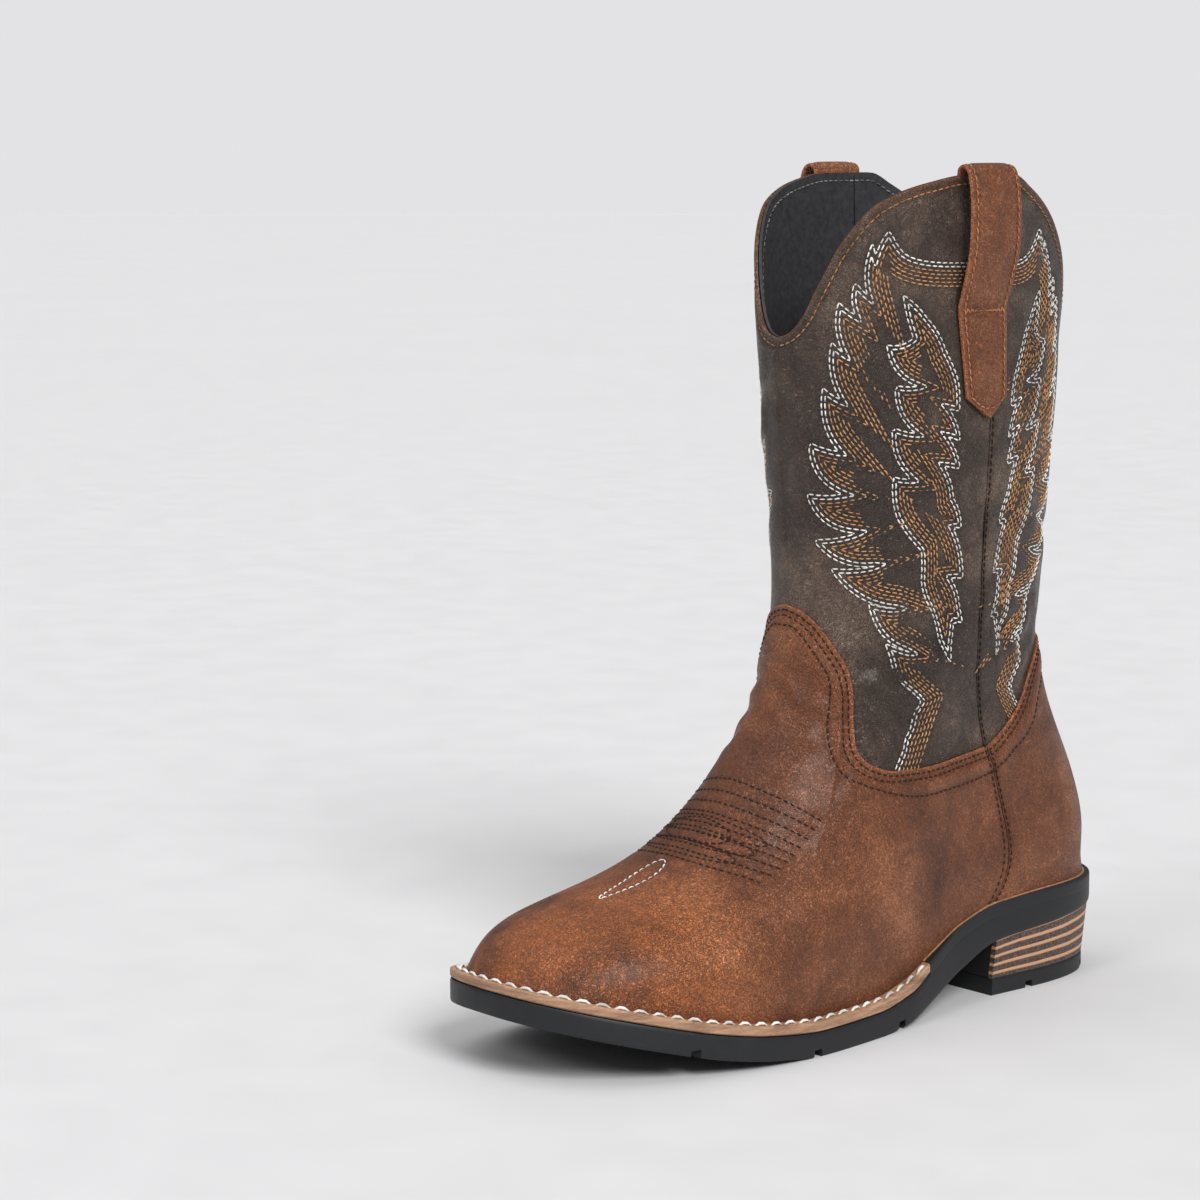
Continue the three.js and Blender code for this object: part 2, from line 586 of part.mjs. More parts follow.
function nailHoles() {
  let holes = null;
  for (const { x, y } of NAIL_SPOTS) {
    const top = soleTop(x) + 2;
    const radius = NAIL_RADIUS + GAP;
    const hole = new THREE.CylinderGeometry(radius, radius, NAIL_HOLE_LENGTH, NAIL_SIDES);
    hole.rotateX(Math.PI / 2);
    hole.translate(x, y, top - NAIL_HOLE_LENGTH / 2);
    holes = holes ? holes.add(solid(hole)) : solid(hole);
  }
  return holes;
}

function nails() {
  for (const { name, x, y } of NAIL_SPOTS) {
    const head = soleTop(x) + GAP + NAIL_HEAD_THICKNESS;
    const profile = [
      [0, -NAIL_LENGTH], [NAIL_RADIUS * 0.4, -NAIL_LENGTH], [NAIL_RADIUS, -NAIL_LENGTH + 2],
      [NAIL_RADIUS, -NAIL_HEAD_THICKNESS], [NAIL_HEAD, -NAIL_HEAD_THICKNESS], [NAIL_HEAD, 0], [0, 0],
    ];
    const nail = new THREE.LatheGeometry(profile.map(([r, z]) => new THREE.Vector2(r, z)), NAIL_SIDES);
    nail.rotateX(Math.PI / 2);
    nail.translate(x, y, head);
    addPiece(name, merged(nail), STEEL);
  }
}

// Straight grooves across the tread, cut up into it from below.
const GROOVE_REACH = 80; // past both edges of the sole

function grooves(places, height) {
  let cuts = null;
  for (const x of places) {
    const ground = height(x);
    const ends = [x - LUG_WIDTH / 2, x + LUG_WIDTH / 2, -GROOVE_REACH, GROOVE_REACH];
    const cut = solid(box(...ends, ground - 2, ground + LUG_DEPTH));
    cuts = cuts ? cuts.add(cut) : cut;
  }
  return cuts;
}

const FOREPART_GROOVES = [104, 155.5, 212];
const LIFT_GROOVES = [-26, 16];
const RIM_COLUMNS = 26;

function outsole() {
  const lower = solid(plate({ distance: soleEdge, bottom: treadHeight, top: soleTop, columns: 62 }));
  const end = alongSole(WELT_END_X);
  const rimHeights = { bottom: (x) => soleTop(x) - 2, top: feather };
  const rim = solid(plate({ distance: soleEdge, ...rimHeights, to: end, columns: RIM_COLUMNS }));
  const recess = { distance: inside(-SEAT_RECESS), bottom: soleTop, top: above(9) };
  const seat = solid(plate({ ...recess, to: end + 4, columns: RIM_COLUMNS }));
  const treadCuts = grooves(FOREPART_GROOVES.map(alongSole), treadHeight);
  const rubber = lower.add(rim).subtract(seat).subtract(treadCuts).subtract(nailHoles());
  addPiece("outsole", geometryOf(rubber), RUBBER);
}

const WELT_COLUMNS = 64;

// A strip that follows the edge of the sole round the toe, from one side of the waist to the other.
function welt() {
  const sides = (reach) => {
    const { outer, inner } = offsetSides(reach);
    const end = alongSole(WELT_END_X) + GAP;
    const cut = (points) => {
      const last = points.findIndex((point) => point[0] < end);
      const t = (points[last - 1][0] - end) / (points[last - 1][0] - points[last][0]);
      return [...points.slice(0, last), points[last].map((c, k) => lerp(points[last - 1][k], c, t))];
    };
    return evenly([...cut(inner).reverse(), ...cut(outer).slice(1)], WELT_COLUMNS + 1);
  };
  const near = sides(inside(-SEAT_RECESS));
  const far = sides(soleEdge);
  const strip = bentBox(WELT_COLUMNS, 1, 1, (u, v, w) => {
    const i = Math.round(u * WELT_COLUMNS);
    const x = lerp(near[i][0], far[i][0], v);
    const y = lerp(near[i][1], far[i][1], v);
    return new THREE.Vector3(x, y, w > 0.5 ? feather(x) : soleTop(x) + GAP);
  });
  addPiece("welt", strip, TAN);
}

const INSOLE_INSET = 1.8;
const FOOTBED_INSET = 8.5 * lengthScale; // a longer upper leans in more over the toes
const COVER_INSET = FOOTBED_INSET + 2;
const MARGIN_CLEAR = LASTING_MARGIN + 1;
const SHANK_HALF_WIDTH = 8;
const SHANK_FROM = 34;
const SHANK_TO = 104;

function soleFilling() {
  const footbedTop = INSOLE_TOP + GAP + FOOTBED_THICKNESS;
  const board = { bottom: above(INSOLE_BOTTOM), top: above(INSOLE_TOP) };
  addPiece("insole_board", plate({ distance: inside(INSOLE_INSET), ...board, columns: 44 }), BOARD);
  const bed = { bottom: above(INSOLE_TOP + GAP), top: above(footbedTop) };
  addPiece("footbed", plate({ distance: inside(FOOTBED_INSET), ...bed }), BLACK);
  const cover = { bottom: above(footbedTop + GAP), top: above(footbedTop + GAP + FOOTBED_COVER) };
  addPiece("footbed_cover", plate({ distance: inside(COVER_INSET), ...cover }), BLACK);
  const layer = { bottom: above(FLANGE_BOTTOM), top: above(FLANGE_TOP) };
  const filler = { distance: inside(MARGIN_CLEAR), from: alongSole(SHANK_TO) + 3, columns: 24 };
  addPiece("bottom_filler", plate({ ...filler, ...layer }), BOARD);
  const shank = bentBox(16, 1, 1, (u, v, w) => {
    const x = lerp(SHANK_FROM, alongSole(SHANK_TO), u);
    const y = lerp(-SHANK_HALF_WIDTH, SHANK_HALF_WIDTH, v);
    return new THREE.Vector3(x, y, lerp(layer.bottom(x), layer.top(x), w));
  });
  addPiece("shank", shank, STEEL);
}

// The heel block inside its stacked-leather band, and the rubber lift under both.
const HEEL_SETBACK = 0.7; // the top of the heel stands in this far from the edge of the sole
const heelEdge = (inset) => (x) => soleEdge(x) - HEEL_SETBACK - inset;

function heel() {
  const floor = () => HEEL_LIFT + GAP;
  const seat = (x) => treadHeight(x) - GAP;
  const block = { bottom: floor, top: seat, to: HEEL_BREAST_X, draw: HEEL_TAPER, columns: 20 };
  const core = solid(plate({ ...block, distance: heelEdge(STACK_WRAP + GAP) }));
  addPiece("heel_block", geometryOf(core.subtract(nailHoles())), RUBBER);
  const hollow = { ...block, distance: heelEdge(STACK_WRAP), to: HEEL_BREAST_X + 5, beyond: 0.2 };
  const band = solid(plate({ ...block, distance: heelEdge(0) })).subtract(solid(plate(hollow)));
  addPiece("heel_stack", geometryOf(band), TAN);
  const lift = { ...block, distance: heelEdge(HEEL_TAPER), bottom: () => 0, top: () => HEEL_LIFT, draw: 0.5 };
  addPiece("heel_lift", geometryOf(solid(plate(lift)).subtract(grooves(LIFT_GROOVES, () => 0))), RUBBER);
}

// A pull strap: a band sewn to the outside and looped over the topline, where its end goes into
// the seam between shaft and lining.
// Its route is distance out from the reference surface and height below the topline.
const STRAP_ROWS = 26;
const STRAP_TIP = 8; // length of the tail's point
const STRAP_TIP_SHARE = 0.25; // how wide its very end is left

function pullStrap(name, side) {
  const half = STRAP_THICKNESS / 2;
  const sewn = half + GAP;
  const loop = STRAP_STANDOFF + half;
  const end = LINING_IN / 2;
  const route = [
    [sewn, -STRAP_TAIL], [sewn, -STRAP_TAIL + 8], [sewn, -STRAP_BAR - 14], [sewn, -STRAP_BAR - 1],
    [sewn + 0.4, -STRAP_BAR + 3], [lerp(sewn, loop, 0.6), -STRAP_BAR + 13], [loop, -STRAP_BAR + 24],
    [loop + 0.2, -17], [loop - 0.5, -7], [loop - 2.6, STRAP_RISE - 3.4], [1.6, STRAP_RISE - half],
    [end + 0.6, STRAP_RISE - half - 0.9], [end, 1.5 * GAP],
  ].map(([out, down]) => new THREE.Vector2(out, TOPLINE_HEIGHT + down));
  const curve = new THREE.SplineCurve(route);
  const total = curve.getLength();
  const strap = bentBox(4, STRAP_ROWS, 1, (u, v, w) => {
    const at = curve.getPointAt(v);
    const along = curve.getTangentAt(v);
    const out = at.x + (w - 0.5) * STRAP_THICKNESS * along.y;
    const height = at.y - (w - 0.5) * STRAP_THICKNESS * along.x;
    const fromTail = v * total;
    const risen = clamp(fromTail / (STRAP_TAIL - STRAP_BAR), 0, 1);
    const width = lerp(STRAP_TAIL_WIDTH, STRAP_WIDTH, risen);
    const tipped = lerp(STRAP_TIP_SHARE, 1, clamp(fromTail / STRAP_TIP, 0, 1));
    const across = (u - 0.5) * width * tipped + lerp(STRAP_TAIL_SHIFT, STRAP_SHIFT, risen);
    const level = levelAtHeight(side, Math.min(height, TOPLINE_HEIGHT + TOP_SECTION_RISE - 1));
    const base = surface(side, level);
    const step = 0.05;
    const perGirth = surface(side * (1 - step), level).distanceTo(base) / step;
    const point = offSurface(side * (1 - across / perGirth), level, out);
    point.z += height - base.z;
    return point;
  });
  addPiece(name, strap, BROWN);
}

shaftPanels();
shaftLinings();
vampAndFoxing();
footLinings();
stiffeners();
vampBacking();
pullStrap("pull_strap_outer", 1);
pullStrap("pull_strap_inner", -1);
outsole();
welt();
soleFilling();
heel();
nails();

export default boot;
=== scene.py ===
"""Looks of a pull-on western boot: leather, linings, stitching, straps, welt, sole and heel."""

import math

import bmesh
import bpy
import numpy as np
from bpy.props import FloatProperty, FloatVectorProperty, PointerProperty
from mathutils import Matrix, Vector, kdtree


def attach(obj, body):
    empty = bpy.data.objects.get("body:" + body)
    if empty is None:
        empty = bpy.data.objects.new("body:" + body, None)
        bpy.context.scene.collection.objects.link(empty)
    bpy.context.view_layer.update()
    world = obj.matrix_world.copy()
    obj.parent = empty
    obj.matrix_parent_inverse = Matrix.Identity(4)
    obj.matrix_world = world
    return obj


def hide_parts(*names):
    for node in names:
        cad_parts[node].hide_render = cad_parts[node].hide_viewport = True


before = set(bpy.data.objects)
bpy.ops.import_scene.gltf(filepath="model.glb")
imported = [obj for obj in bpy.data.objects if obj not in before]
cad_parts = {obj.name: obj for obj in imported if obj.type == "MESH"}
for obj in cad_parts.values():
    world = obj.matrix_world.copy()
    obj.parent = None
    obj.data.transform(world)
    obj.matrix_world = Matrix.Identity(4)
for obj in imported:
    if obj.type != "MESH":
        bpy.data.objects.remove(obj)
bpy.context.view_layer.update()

bl_info = {
    "name": "Western Boot",
    "version": (1, 0, 0),
    "blender": (4, 5, 0),
    "location": "3D View > Sidebar > Boot",
    "description": "Leather, stitching, welt, sole and heel of a pull-on western boot",
    "category": "Add Mesh",
}

MM = 0.001

# ---------------------------------------------------------------------------------------------
# The boot's reference surface, in millimetres: x toward the toe, y toward the outer side, z up.
# It is the outer face of the shaft, and the vamp lies on it.

LAST_PLAN = [
    (259, -7), (258, 7), (249, 23), (229, 35.5), (196, 45.5), (158, 47.5), (118, 41.5), (80, 34.5),
    (42, 31.5), (4, 31), (-21, 24), (-32.5, 10.5), (-35.2, 0), (-32.5, -10.5), (-21, -23), (4, -29),
    (42, -29), (80, -29), (118, -35), (156, -43.5), (196, -48.5), (229, -45.5), (249, -37), (258, -22),
]
HEEL_POINT = 12
HALF_WIDTH = 47
PLAN_STEPS = 12
HALF_STEPS = 60

SOLE_PROFILE = [  # x, height of the tread, height of the sole's top
    (-44, 30, 36), (0, 26.5, 36.5), (38, 23.3, 34.8), (60, 15.5, 29.5), (78, 8.2, 21.4), (98, 2, 13),
    (118, 0, 9.6), (150, 0, 9.3), (175, 2, 11.3), (200, 6, 15.3), (225, 12, 21.2), (262, 22, 30.8),
    (274, 25.4, 34.1),
]
LEDGE_PROFILE = [(-44, 3.6), (0, 2.1), (40, 0.9), (62, 1.5), (84, 4.2), (100, 6), (274, 6)]
WELT = 4.2
TOP_LEVEL = 12
AROUND = 92  # millimetres to one unit of girth, about

# back and front height, back and front end, half width, squareness, share of the last's plan,
# share of the sole's pitch, height over the sole, and where the side seam crosses
SECTIONS = [
    (0, 0, -36, 260, 48, 2, 1, 1, 0, 40), (0, 0, -33, 254, 50, 2, 1, 1, 9, 33),
    (60, 55, -35, 242, 48.5, 2, 0.95, 0.75, 21, 30), (78, 67, -32.5, 191, 41, 2, 0.85, 0.5, 36, 32),
    (96, 80, -24.5, 167.5, 37, 2, 0.65, 0.3, 52, 36.5), (114, 96, -15, 149.5, 34.5, 2, 0.4, 0.1, 66, 43),
    (134, 118, -8.5, 131, 33, 2, 0.2, 0, 0, 48), (156, 146, -9.5, 122, 35, 2.15, 0.05, 0, 0, 50),
    (182, 178, -11.5, 121, 36.5, 2.15, 0, 0, 0, 50.5),
    (213.35, 213.35, -14, 125, 38.5, 2.15, 0, 0, 0, 50.5),
    (253.55, 253.55, -17, 128, 40.2, 2.15, 0, 0, 0, 50.5),
    (297.77, 297.77, -19, 131, 41.5, 2.15, 0, 0, 0, 50.5),
    (344, 344, -20.5, 133, 42.5, 2.15, 0, 0, 0, 50.5),
]
# girth (0 front, 1 side seam, 2 back) and height
VAMP_EDGE = [
    (0, 163.5), (0.07, 162), (0.15, 157.5), (0.24, 148), (0.31, 139), (0.34, 131), (0.365, 119),
    (0.4, 109), (0.47, 102.5), (0.57, 99.3), (0.7, 99), (0.88, 101), (1, 102.6), (1.21, 109.5),
    (1.39, 118), (1.56, 130), (1.75, 139.5), (2, 144),
]
TOPLINE = [
    (0, 267), (0.06, 268.9), (0.12, 274.4), (0.19, 286.8), (0.29, 303.6), (0.44, 318.5), (0.65, 325.9),
    (0.85, 329), (1.1, 329), (1.22, 324.2), (1.38, 315.4), (1.55, 301.8), (1.71, 284.8), (1.86, 266.4),
    (2, 261),
]


def smooth_through(points):
    """A smooth curve through points that keeps level stretches level."""
    x, y = np.array(points, float).T
    width = np.diff(x)
    slope = np.diff(y) / width
    a = 2 * width[1:] + width[:-1]
    b = width[1:] + 2 * width[:-1]
    rising = slope[:-1] * slope[1:] > 0
    steady = np.where(rising, slope[:-1] * slope[1:], 1)
    middle = np.where(rising, (a + b) * steady / (a * slope[1:] + b * slope[:-1] + 1e-12 * ~rising), 0)
    tangent = np.concatenate([slope[:1], middle, slope[-1:]])

    def at(q):
        q = np.asarray(q, float)
        i = np.clip(np.searchsorted(x, q, side="right") - 1, 0, len(x) - 2)
        t = np.clip((q - x[i]) / width[i], 0, 1)
        near = (2 * t**3 - 3 * t**2 + 1) * y[i] + (t**3 - 2 * t**2 + t) * width[i] * tangent[i]
        far = (3 * t**2 - 2 * t**3) * y[i + 1] + (t**3 - t**2) * width[i] * tangent[i + 1]
        return near + far

    return at


tread_height = smooth_through([(x, low) for x, low, _ in SOLE_PROFILE])
sole_top = smooth_through([(x, high) for x, _, high in SOLE_PROFILE])
ledge = smooth_through(LEDGE_PROFILE)
vamp_edge = smooth_through(VAMP_EDGE)
topline = smooth_through(TOPLINE)


def feather(x):
    return sole_top(x) + WELT


def spline_weights(u):
    v = 1 - u
    return v**3 / 6, (3 * u**3 - 6 * u**2 + 4) / 6, (3 * v**3 - 6 * v**2 + 4) / 6, u**3 / 6


def arc(points):
    return np.concatenate([[0], np.cumsum(np.linalg.norm(np.diff(points, axis=0), axis=1))])


def along(points, places):
    """Points of a polyline at distances along it."""
    length = arc(points)
    return np.stack([np.interp(places, length, column) for column in points.T], 1)


def evenly(points, count):
    return along(points, np.linspace(0, arc(points)[-1], count))


def closed_spline(points, steps):
    points = np.array(points, float)
    weights = np.stack(spline_weights(np.arange(steps) / steps), 1)
    count = len(points)
    return np.concatenate([weights @ points[np.arange(i - 1, i + 3) % count] for i in range(count)])


PLAN = closed_spline(LAST_PLAN, PLAN_STEPS)
SPLIT = HEEL_POINT * PLAN_STEPS
OUTER_PLAN = PLAN[: SPLIT + 1]
INNER_PLAN = np.concatenate([PLAN[SPLIT:], PLAN[:1]])[::-1]


def section_side(section, side):
    back, front, xb, xf, w, n, foot, pitch, rise, seam = section
    last = evenly(OUTER_PLAN if side > 0 else INNER_PLAN, 2 * HALF_STEPS + 1)
    angle = np.linspace(0, np.pi, 4 * HALF_STEPS + 1)
    oval = [(xb + xf) / 2 + (xf - xb) / 2 * np.cos(angle), side * w * np.abs(np.sin(angle)) ** (2 / n)]
    oval = evenly(np.stack(oval, 1), 2 * HALF_STEPS + 1)
    x0, x1 = OUTER_PLAN[-1, 0], OUTER_PLAN[0, 0]
    x = foot * (xb + (last[:, 0] - x0) * (xf - xb) / (x1 - x0)) + (1 - foot) * oval[:, 0]
    y = foot * last[:, 1] * w / HALF_WIDTH + (1 - foot) * oval[:, 1]
    free = back + (front - back) * (x - xb) / (xf - xb)
    points = np.stack([x, y, pitch * (feather(x) + rise) + (1 - pitch) * free], 1)
    after = int(np.argmax(points[:, 0] < seam))
    t = (points[after - 1, 0] - seam) / (points[after - 1, 0] - points[after, 0])
    cut = points[after - 1] + t * (points[after] - points[after - 1])
    front_half = evenly(np.vstack([points[:after], cut]), HALF_STEPS + 1)
    back_half = evenly(np.vstack([cut, points[after:]]), HALF_STEPS + 1)
    return np.vstack([front_half, back_half[1:]])


def side_grid(side):
    rows = [section_side(section, side) for section in SECTIONS]
    return np.array([2 * rows[0] - rows[1], *rows, 2 * rows[-1] - rows[-2]])


GRIDS = np.array([side_grid(-1), side_grid(1)])


def surface(girth, level):
    """Points of the reference surface. Girth is below 0 on the inner side, and 2 and -2 meet."""
    girth, level = np.broadcast_arrays(np.asarray(girth, float), np.asarray(level, float))
    girth = np.where(girth > 2, girth - 4, np.where(girth < -2, girth + 4, girth))
    grid = (girth >= 0).astype(int)
    place = np.abs(girth) * HALF_STEPS
    i = np.minimum(place.astype(int), 2 * HALF_STEPS - 1)
    level = np.clip(level, 0, TOP_LEVEL)
    j = np.minimum(level.astype(int), TOP_LEVEL - 1)
    share = (place - i)[..., None]
    out = 0
    for m, weight in enumerate(spline_weights((level - j)[..., None])):
        out = out + weight * (GRIDS[grid, j + m, i] * (1 - share) + GRIDS[grid, j + m, i + 1] * share)
    return out


def outward(girth, level):
    step = 0.008
    level = np.clip(level, step, TOP_LEVEL - step)
    across = surface(girth + step, level) - surface(girth - step, level)
    up = surface(girth, level + step) - surface(girth, level - step)
    normal = np.cross(across, up)
    return normal / np.linalg.norm(normal, axis=-1, keepdims=True)


def off_surface(girth, level, out):
    return surface(girth, level) + outward(girth, level) * np.asarray(out, float)[..., None]


def level_at(girth, height):
    girth, height = np.broadcast_arrays(np.asarray(girth, float), np.asarray(height, float))
    low, high = np.zeros(girth.shape), np.full(girth.shape, float(TOP_LEVEL))
    for _ in range(17):
        middle = (low + high) / 2
        below = surface(girth, middle)[..., 2] < height
        low, high = np.where(below, middle, low), np.where(below, high, middle)
    return (low + high) / 2


def fold(girth):
    """Girth from 0 at the front to 2 at the back, on either side."""
    girth = np.abs(girth)
    return np.where(girth > 2, 4 - girth, girth)


LEVELS = np.linspace(0, TOP_LEVEL, 121)


def half_lengths(side, first, last):
    girth = side * np.linspace(first, last, 81)
    points = surface(girth[:, None], LEVELS[None, :])
    return np.linalg.norm(np.diff(points, axis=0), axis=2).sum(0)


FRONT_LENGTH = {side: half_lengths(side, 0, 1) for side in (-1, 1)}
BACK_LENGTH = {side: half_lengths(side, 1, 2) for side in (-1, 1)}


def on_panel(side, s, z):
    """Girth and level of points s to the front of the side seam and z high."""
    s, z = np.asarray(s, float), np.asarray(z, float)
    t = np.ones(s.shape)
    for _ in range(3):
        level = level_at(side * t, z)
        front = np.interp(level, LEVELS, FRONT_LENGTH[side])
        back = np.interp(level, LEVELS, BACK_LENGTH[side])
        t = np.clip(np.where(s > 0, 1 - s / front, 1 - s / back), 0.001, 1.999)
    return side * t, level_at(side * t, z)


def ease(low, high, value):
    t = np.clip((np.asarray(value, float) - low) / (high - low), 0, 1)
    return t * t * (3 - 2 * t)


def ripple(points, size, seed):
    """Smooth noise from -1 to 1 with lumps of a given size."""
    table = np.random.RandomState(seed).uniform(-1, 1, (32, 32, 32))
    cell = points / size
    low = np.floor(cell).astype(int)
    t = cell - low
    t = t * t * (3 - 2 * t)
    out = 0
    for corner in np.ndindex(2, 2, 2):
        i, j, k = ((low + corner) % 32).T
        weight = np.prod(np.where(np.array(corner) == 1, t, 1 - t), axis=1)
        out = out + weight * table[i, j, k]
    return out


# Folds pressed into the leather: girth and height of both ends, depth and half width.
FOLD_AROUND = 90  # millimetres to one unit of girth, where folds are laid
FOLD_DEPTH, FOLD_BULGE = 1.45, 0.85  # of the pressed line and of the roll beside it
FOLD_FADE = 7
SHAFT_FOLDS = [
    (0.05, 258, 0.2, 236, 0.9, 3.2), (0.12, 246, 0.26, 226, -0.6, 4), (0.42, 152, 0.72, 147, 1.0, 4),
    (0.4, 141, 0.66, 134, 1.3, 4.2), (0.42, 130, 0.62, 121, 1.2, 3.8), (0.46, 117, 0.6, 111, 1.0, 3.2),
    (0.62, 168, 0.88, 160, 0.5, 5), (1.1, 172, 1.5, 158, 0.7, 5), (1.15, 152, 1.5, 142, 0.9, 4.5),
    (1.55, 190, 1.95, 182, 0.6, 5), (0.0, 205, 0.3, 200, 0.5, 6), (0.55, 212, 0.9, 206, -0.5, 7),
]
VAMP_FOLDS = [
    (0.0, 141, 0.2, 131, 0.55, 3), (0.0, 131, 0.24, 117, 0.6, 3.4), (0.0, 121, 0.2, 109, 0.45, 3),
    (0.3, 74, 0.55, 58, 0.5, 6), (0.38, 88, 0.7, 72, -0.5, 7), (1.2, 98, 1.6, 84, 0.4, 7),
]


def folded(girth, z, folds):
    """Height of the folds at places on the boot."""
    t = fold(girth)
    total = np.zeros(t.shape)
    for t0, z0, t1, z1, depth, width in folds:
        run = np.array([(t1 - t0) * FOLD_AROUND, z1 - z0])
        length = np.linalg.norm(run)
        run = run / length
        da, dz = (t - t0) * FOLD_AROUND, z - z0
        down = da * run[0] + dz * run[1]
        aside = da * run[1] - dz * run[0] + 1.2 * np.sin(down * 0.35 + depth * 9)
        beyond = np.maximum(np.maximum(-down, down - length), 0)
        fade = (beyond / FOLD_FADE) ** 2
        total -= FOLD_DEPTH * depth * np.exp(-((aside / width) ** 2) - fade)
        total += FOLD_BULGE * depth * np.exp(-(((aside - 1.9 * width) / width) ** 2) - fade)
    return total


def waves(girth, z, around, *lumps):
    """Uneven leather: lumps are height, size and seed."""
    points = np.stack([fold(girth) * around, z, np.sign(girth + 1e-9) * 40], -1)
    return sum(height * ripple(points, size, seed) for height, size, seed in lumps)


def shaft_relief(girth, z):
    t = fold(girth)
    clear = ease(-2, 12, z - vamp_edge(t)) * ease(0, 14, topline(t) - z)
    return clear * (waves(girth, z, FOLD_AROUND, (0.8, 32, 3), (0.45, 12, 5)) + folded(girth, z, SHAFT_FOLDS))


def vamp_relief(girth, z):
    clear = ease(0, 16, vamp_edge(fold(girth)) - z)
    return clear * (waves(girth, z, 110, (0.35, 30, 8), (0.12, 11, 9)) + folded(girth, z, VAMP_FOLDS))


# ---------------------------------------------------------------------------------------------
PRESS = 0.42  # how deep sewing pulls the leather down

# Stitch lines, as s (distance to the front of the side seam) and z. A third value bows the
# stretch that leads to a point, as a share of its length.

WING = [
    (53.5, 99.4), (32.8, 124.8, 0.02), (42.4, 135, -0.03), (47.1, 148.7, -0.03), (36.8, 144.7, 0.03),
    (54.6, 164.7, -0.14), (41.9, 162.2, 0.04), (69.7, 178.5, -0.12), (52.1, 179.4, 0.04),
    (76.7, 189.6, -0.14), (59.9, 192.4, 0.04), (80.9, 207.3, -0.16), (66.2, 207.4, 0.04),
    (80.7, 227.3, -0.16), (68.7, 223.9, 0.04), (76, 248.5, -0.12), (68.9, 243.7, 0.04),
    (73.4, 266.1, -0.1), (68.7, 261.7, 0.04), (71.3, 281.1, -0.1), (64.6, 276, 0.04), (65.2, 289, -0.1),
    (60, 283.5, 0.04), (58.7, 303.9, -0.1), (57.6, 298.3, 0.03), (52.3, 308.2, -0.06),
]
CROSSBAND = [
    (52.3, 308.2), (48, 301.5), (42.5, 297.6), (30, 295.6), (5, 295.2), (-13, 295.2), (-21.5, 298.5),
    (-28.1, 308.2),
]
LOOP = [
    (45.6, 283.5), (35, 274.6, -0.05), (25.8, 261.7, -0.06), (18.8, 249.4, -0.03), (17.6, 237.6, -0.03),
    (23.3, 239.5, 0.03), (15.9, 226.1, -0.08), (22.5, 228.4, 0.03), (15.7, 215.2, -0.08), (24, 217, 0.03),
    (18.5, 204, -0.06), (12.5, 192, -0.08), (17.3, 192.4, 0.03), (11, 172, -0.08), (17.3, 172.5, 0.03),
    (10.3, 154.2, -0.08), (15, 155, 0.03), (16, 138, 0.02),
    (25.7, 159.1, -0.04), (31.7, 171.9, -0.03), (32.3, 184.4, 0.02), (43.7, 197.6, -0.04),
    (46.6, 213.8, -0.06), (38.7, 212.6, 0.04), (47.7, 232.9, -0.13), (37.7, 230.3, 0.04),
    (47.6, 249, -0.13), (37.5, 248.5, 0.04), (51.8, 264.6, -0.16), (40.6, 267.1, 0.12),
    (45.6, 283.5, -0.03),
]
VAMP_THIRD_ROW = [
    (0, 155.5), (0.07, 154.5), (0.17, 144.3), (0.24, 134.1), (0.27, 115.5), (0.35, 101.3), (0.47, 94.3),
    (0.64, 88.7), (0.78, 88.6), (0.99, 92), (1.39, 105.4), (1.64, 120.5), (1.85, 128), (2, 130.5),
]


def bowed(points, step=0.5):
    """A dense line through corner points, each stretch bowed by its share."""
    out = [np.array(points[0][:2], float)]
    for before, point in zip(points, points[1:]):
        a, b = np.array(before[:2], float), np.array(point[:2], float)
        bow = point[2] if len(point) > 2 else 0
        run = b - a
        middle = (a + b) / 2 + 2 * bow * np.array([-run[1], run[0]])
        count = max(2, int(np.linalg.norm(run) / step))
        for u in np.arange(1, count + 1) / count:
            out.append((1 - u) ** 2 * a + 2 * u * (1 - u) * middle + u * u * b)
    return np.array(out)


def rounded(points, step=0.5):
    """A dense smooth line through points."""
    points = np.array(points, float)
    knots = arc(points)
    places = np.linspace(0, knots[-1], max(8, int(knots[-1] / step)))
    padded = np.vstack([2 * points[0] - points[1], points, 2 * points[-1] - points[-2]])
    i = np.clip(np.searchsorted(knots, places, side="right") - 1, 0, len(points) - 2)
    t = ((places - knots[i]) / (knots[i + 1] - knots[i]))[:, None]
    p0, p1, p2, p3 = padded[i], padded[i + 1], padded[i + 2], padded[i + 3]
    square, cube = 2 * p0 - 5 * p1 + 4 * p2 - p3, 3 * p1 - p0 - 3 * p2 + p3
    return 0.5 * (2 * p1 + (p2 - p0) * t + square * t**2 + cube * t**3)


def to_back(line):
    """The same pattern on the back panel, mirrored about the side seam and narrowed."""
    s, z = line.T
    return np.stack([-BACK_WIDTH * s + 7.5 * ease(284, 304, z) * ease(35, 52, s), z], 1)


def inset(line, distance, side=1, closed=False):
    """Pieces of the line that runs beside another at a distance, with sharp corners."""
    if distance < 0.01:
        return [line]
    run = np.diff(line, axis=0)
    run = run / np.linalg.norm(run, axis=1, keepdims=True)
    before = np.vstack([run[-1:] if closed else run[:1], run])
    after = np.vstack([run, run[:1] if closed else run[-1:]])
    mean = before + after
    mean = mean / np.maximum(np.linalg.norm(mean, axis=1, keepdims=True), 1e-6)
    lean = np.maximum((mean * before).sum(1), 0.3)
    moved = line + side * distance * np.stack([-mean[:, 1], mean[:, 0]], 1) / lean[:, None]
    gap = np.sqrt(((moved[:, None, :] - line[None, :, :]) ** 2).sum(2)).min(1)
    pieces, start = [], None
    for i, good in enumerate(np.append(gap > distance * 0.96, False)):
        if good and start is None:
            start = i
        if not good and start is not None:
            if i - start > 4 and arc(moved[start:i])[-1] > 2.5:
                pieces.append(moved[start:i])
            start = None
    return pieces


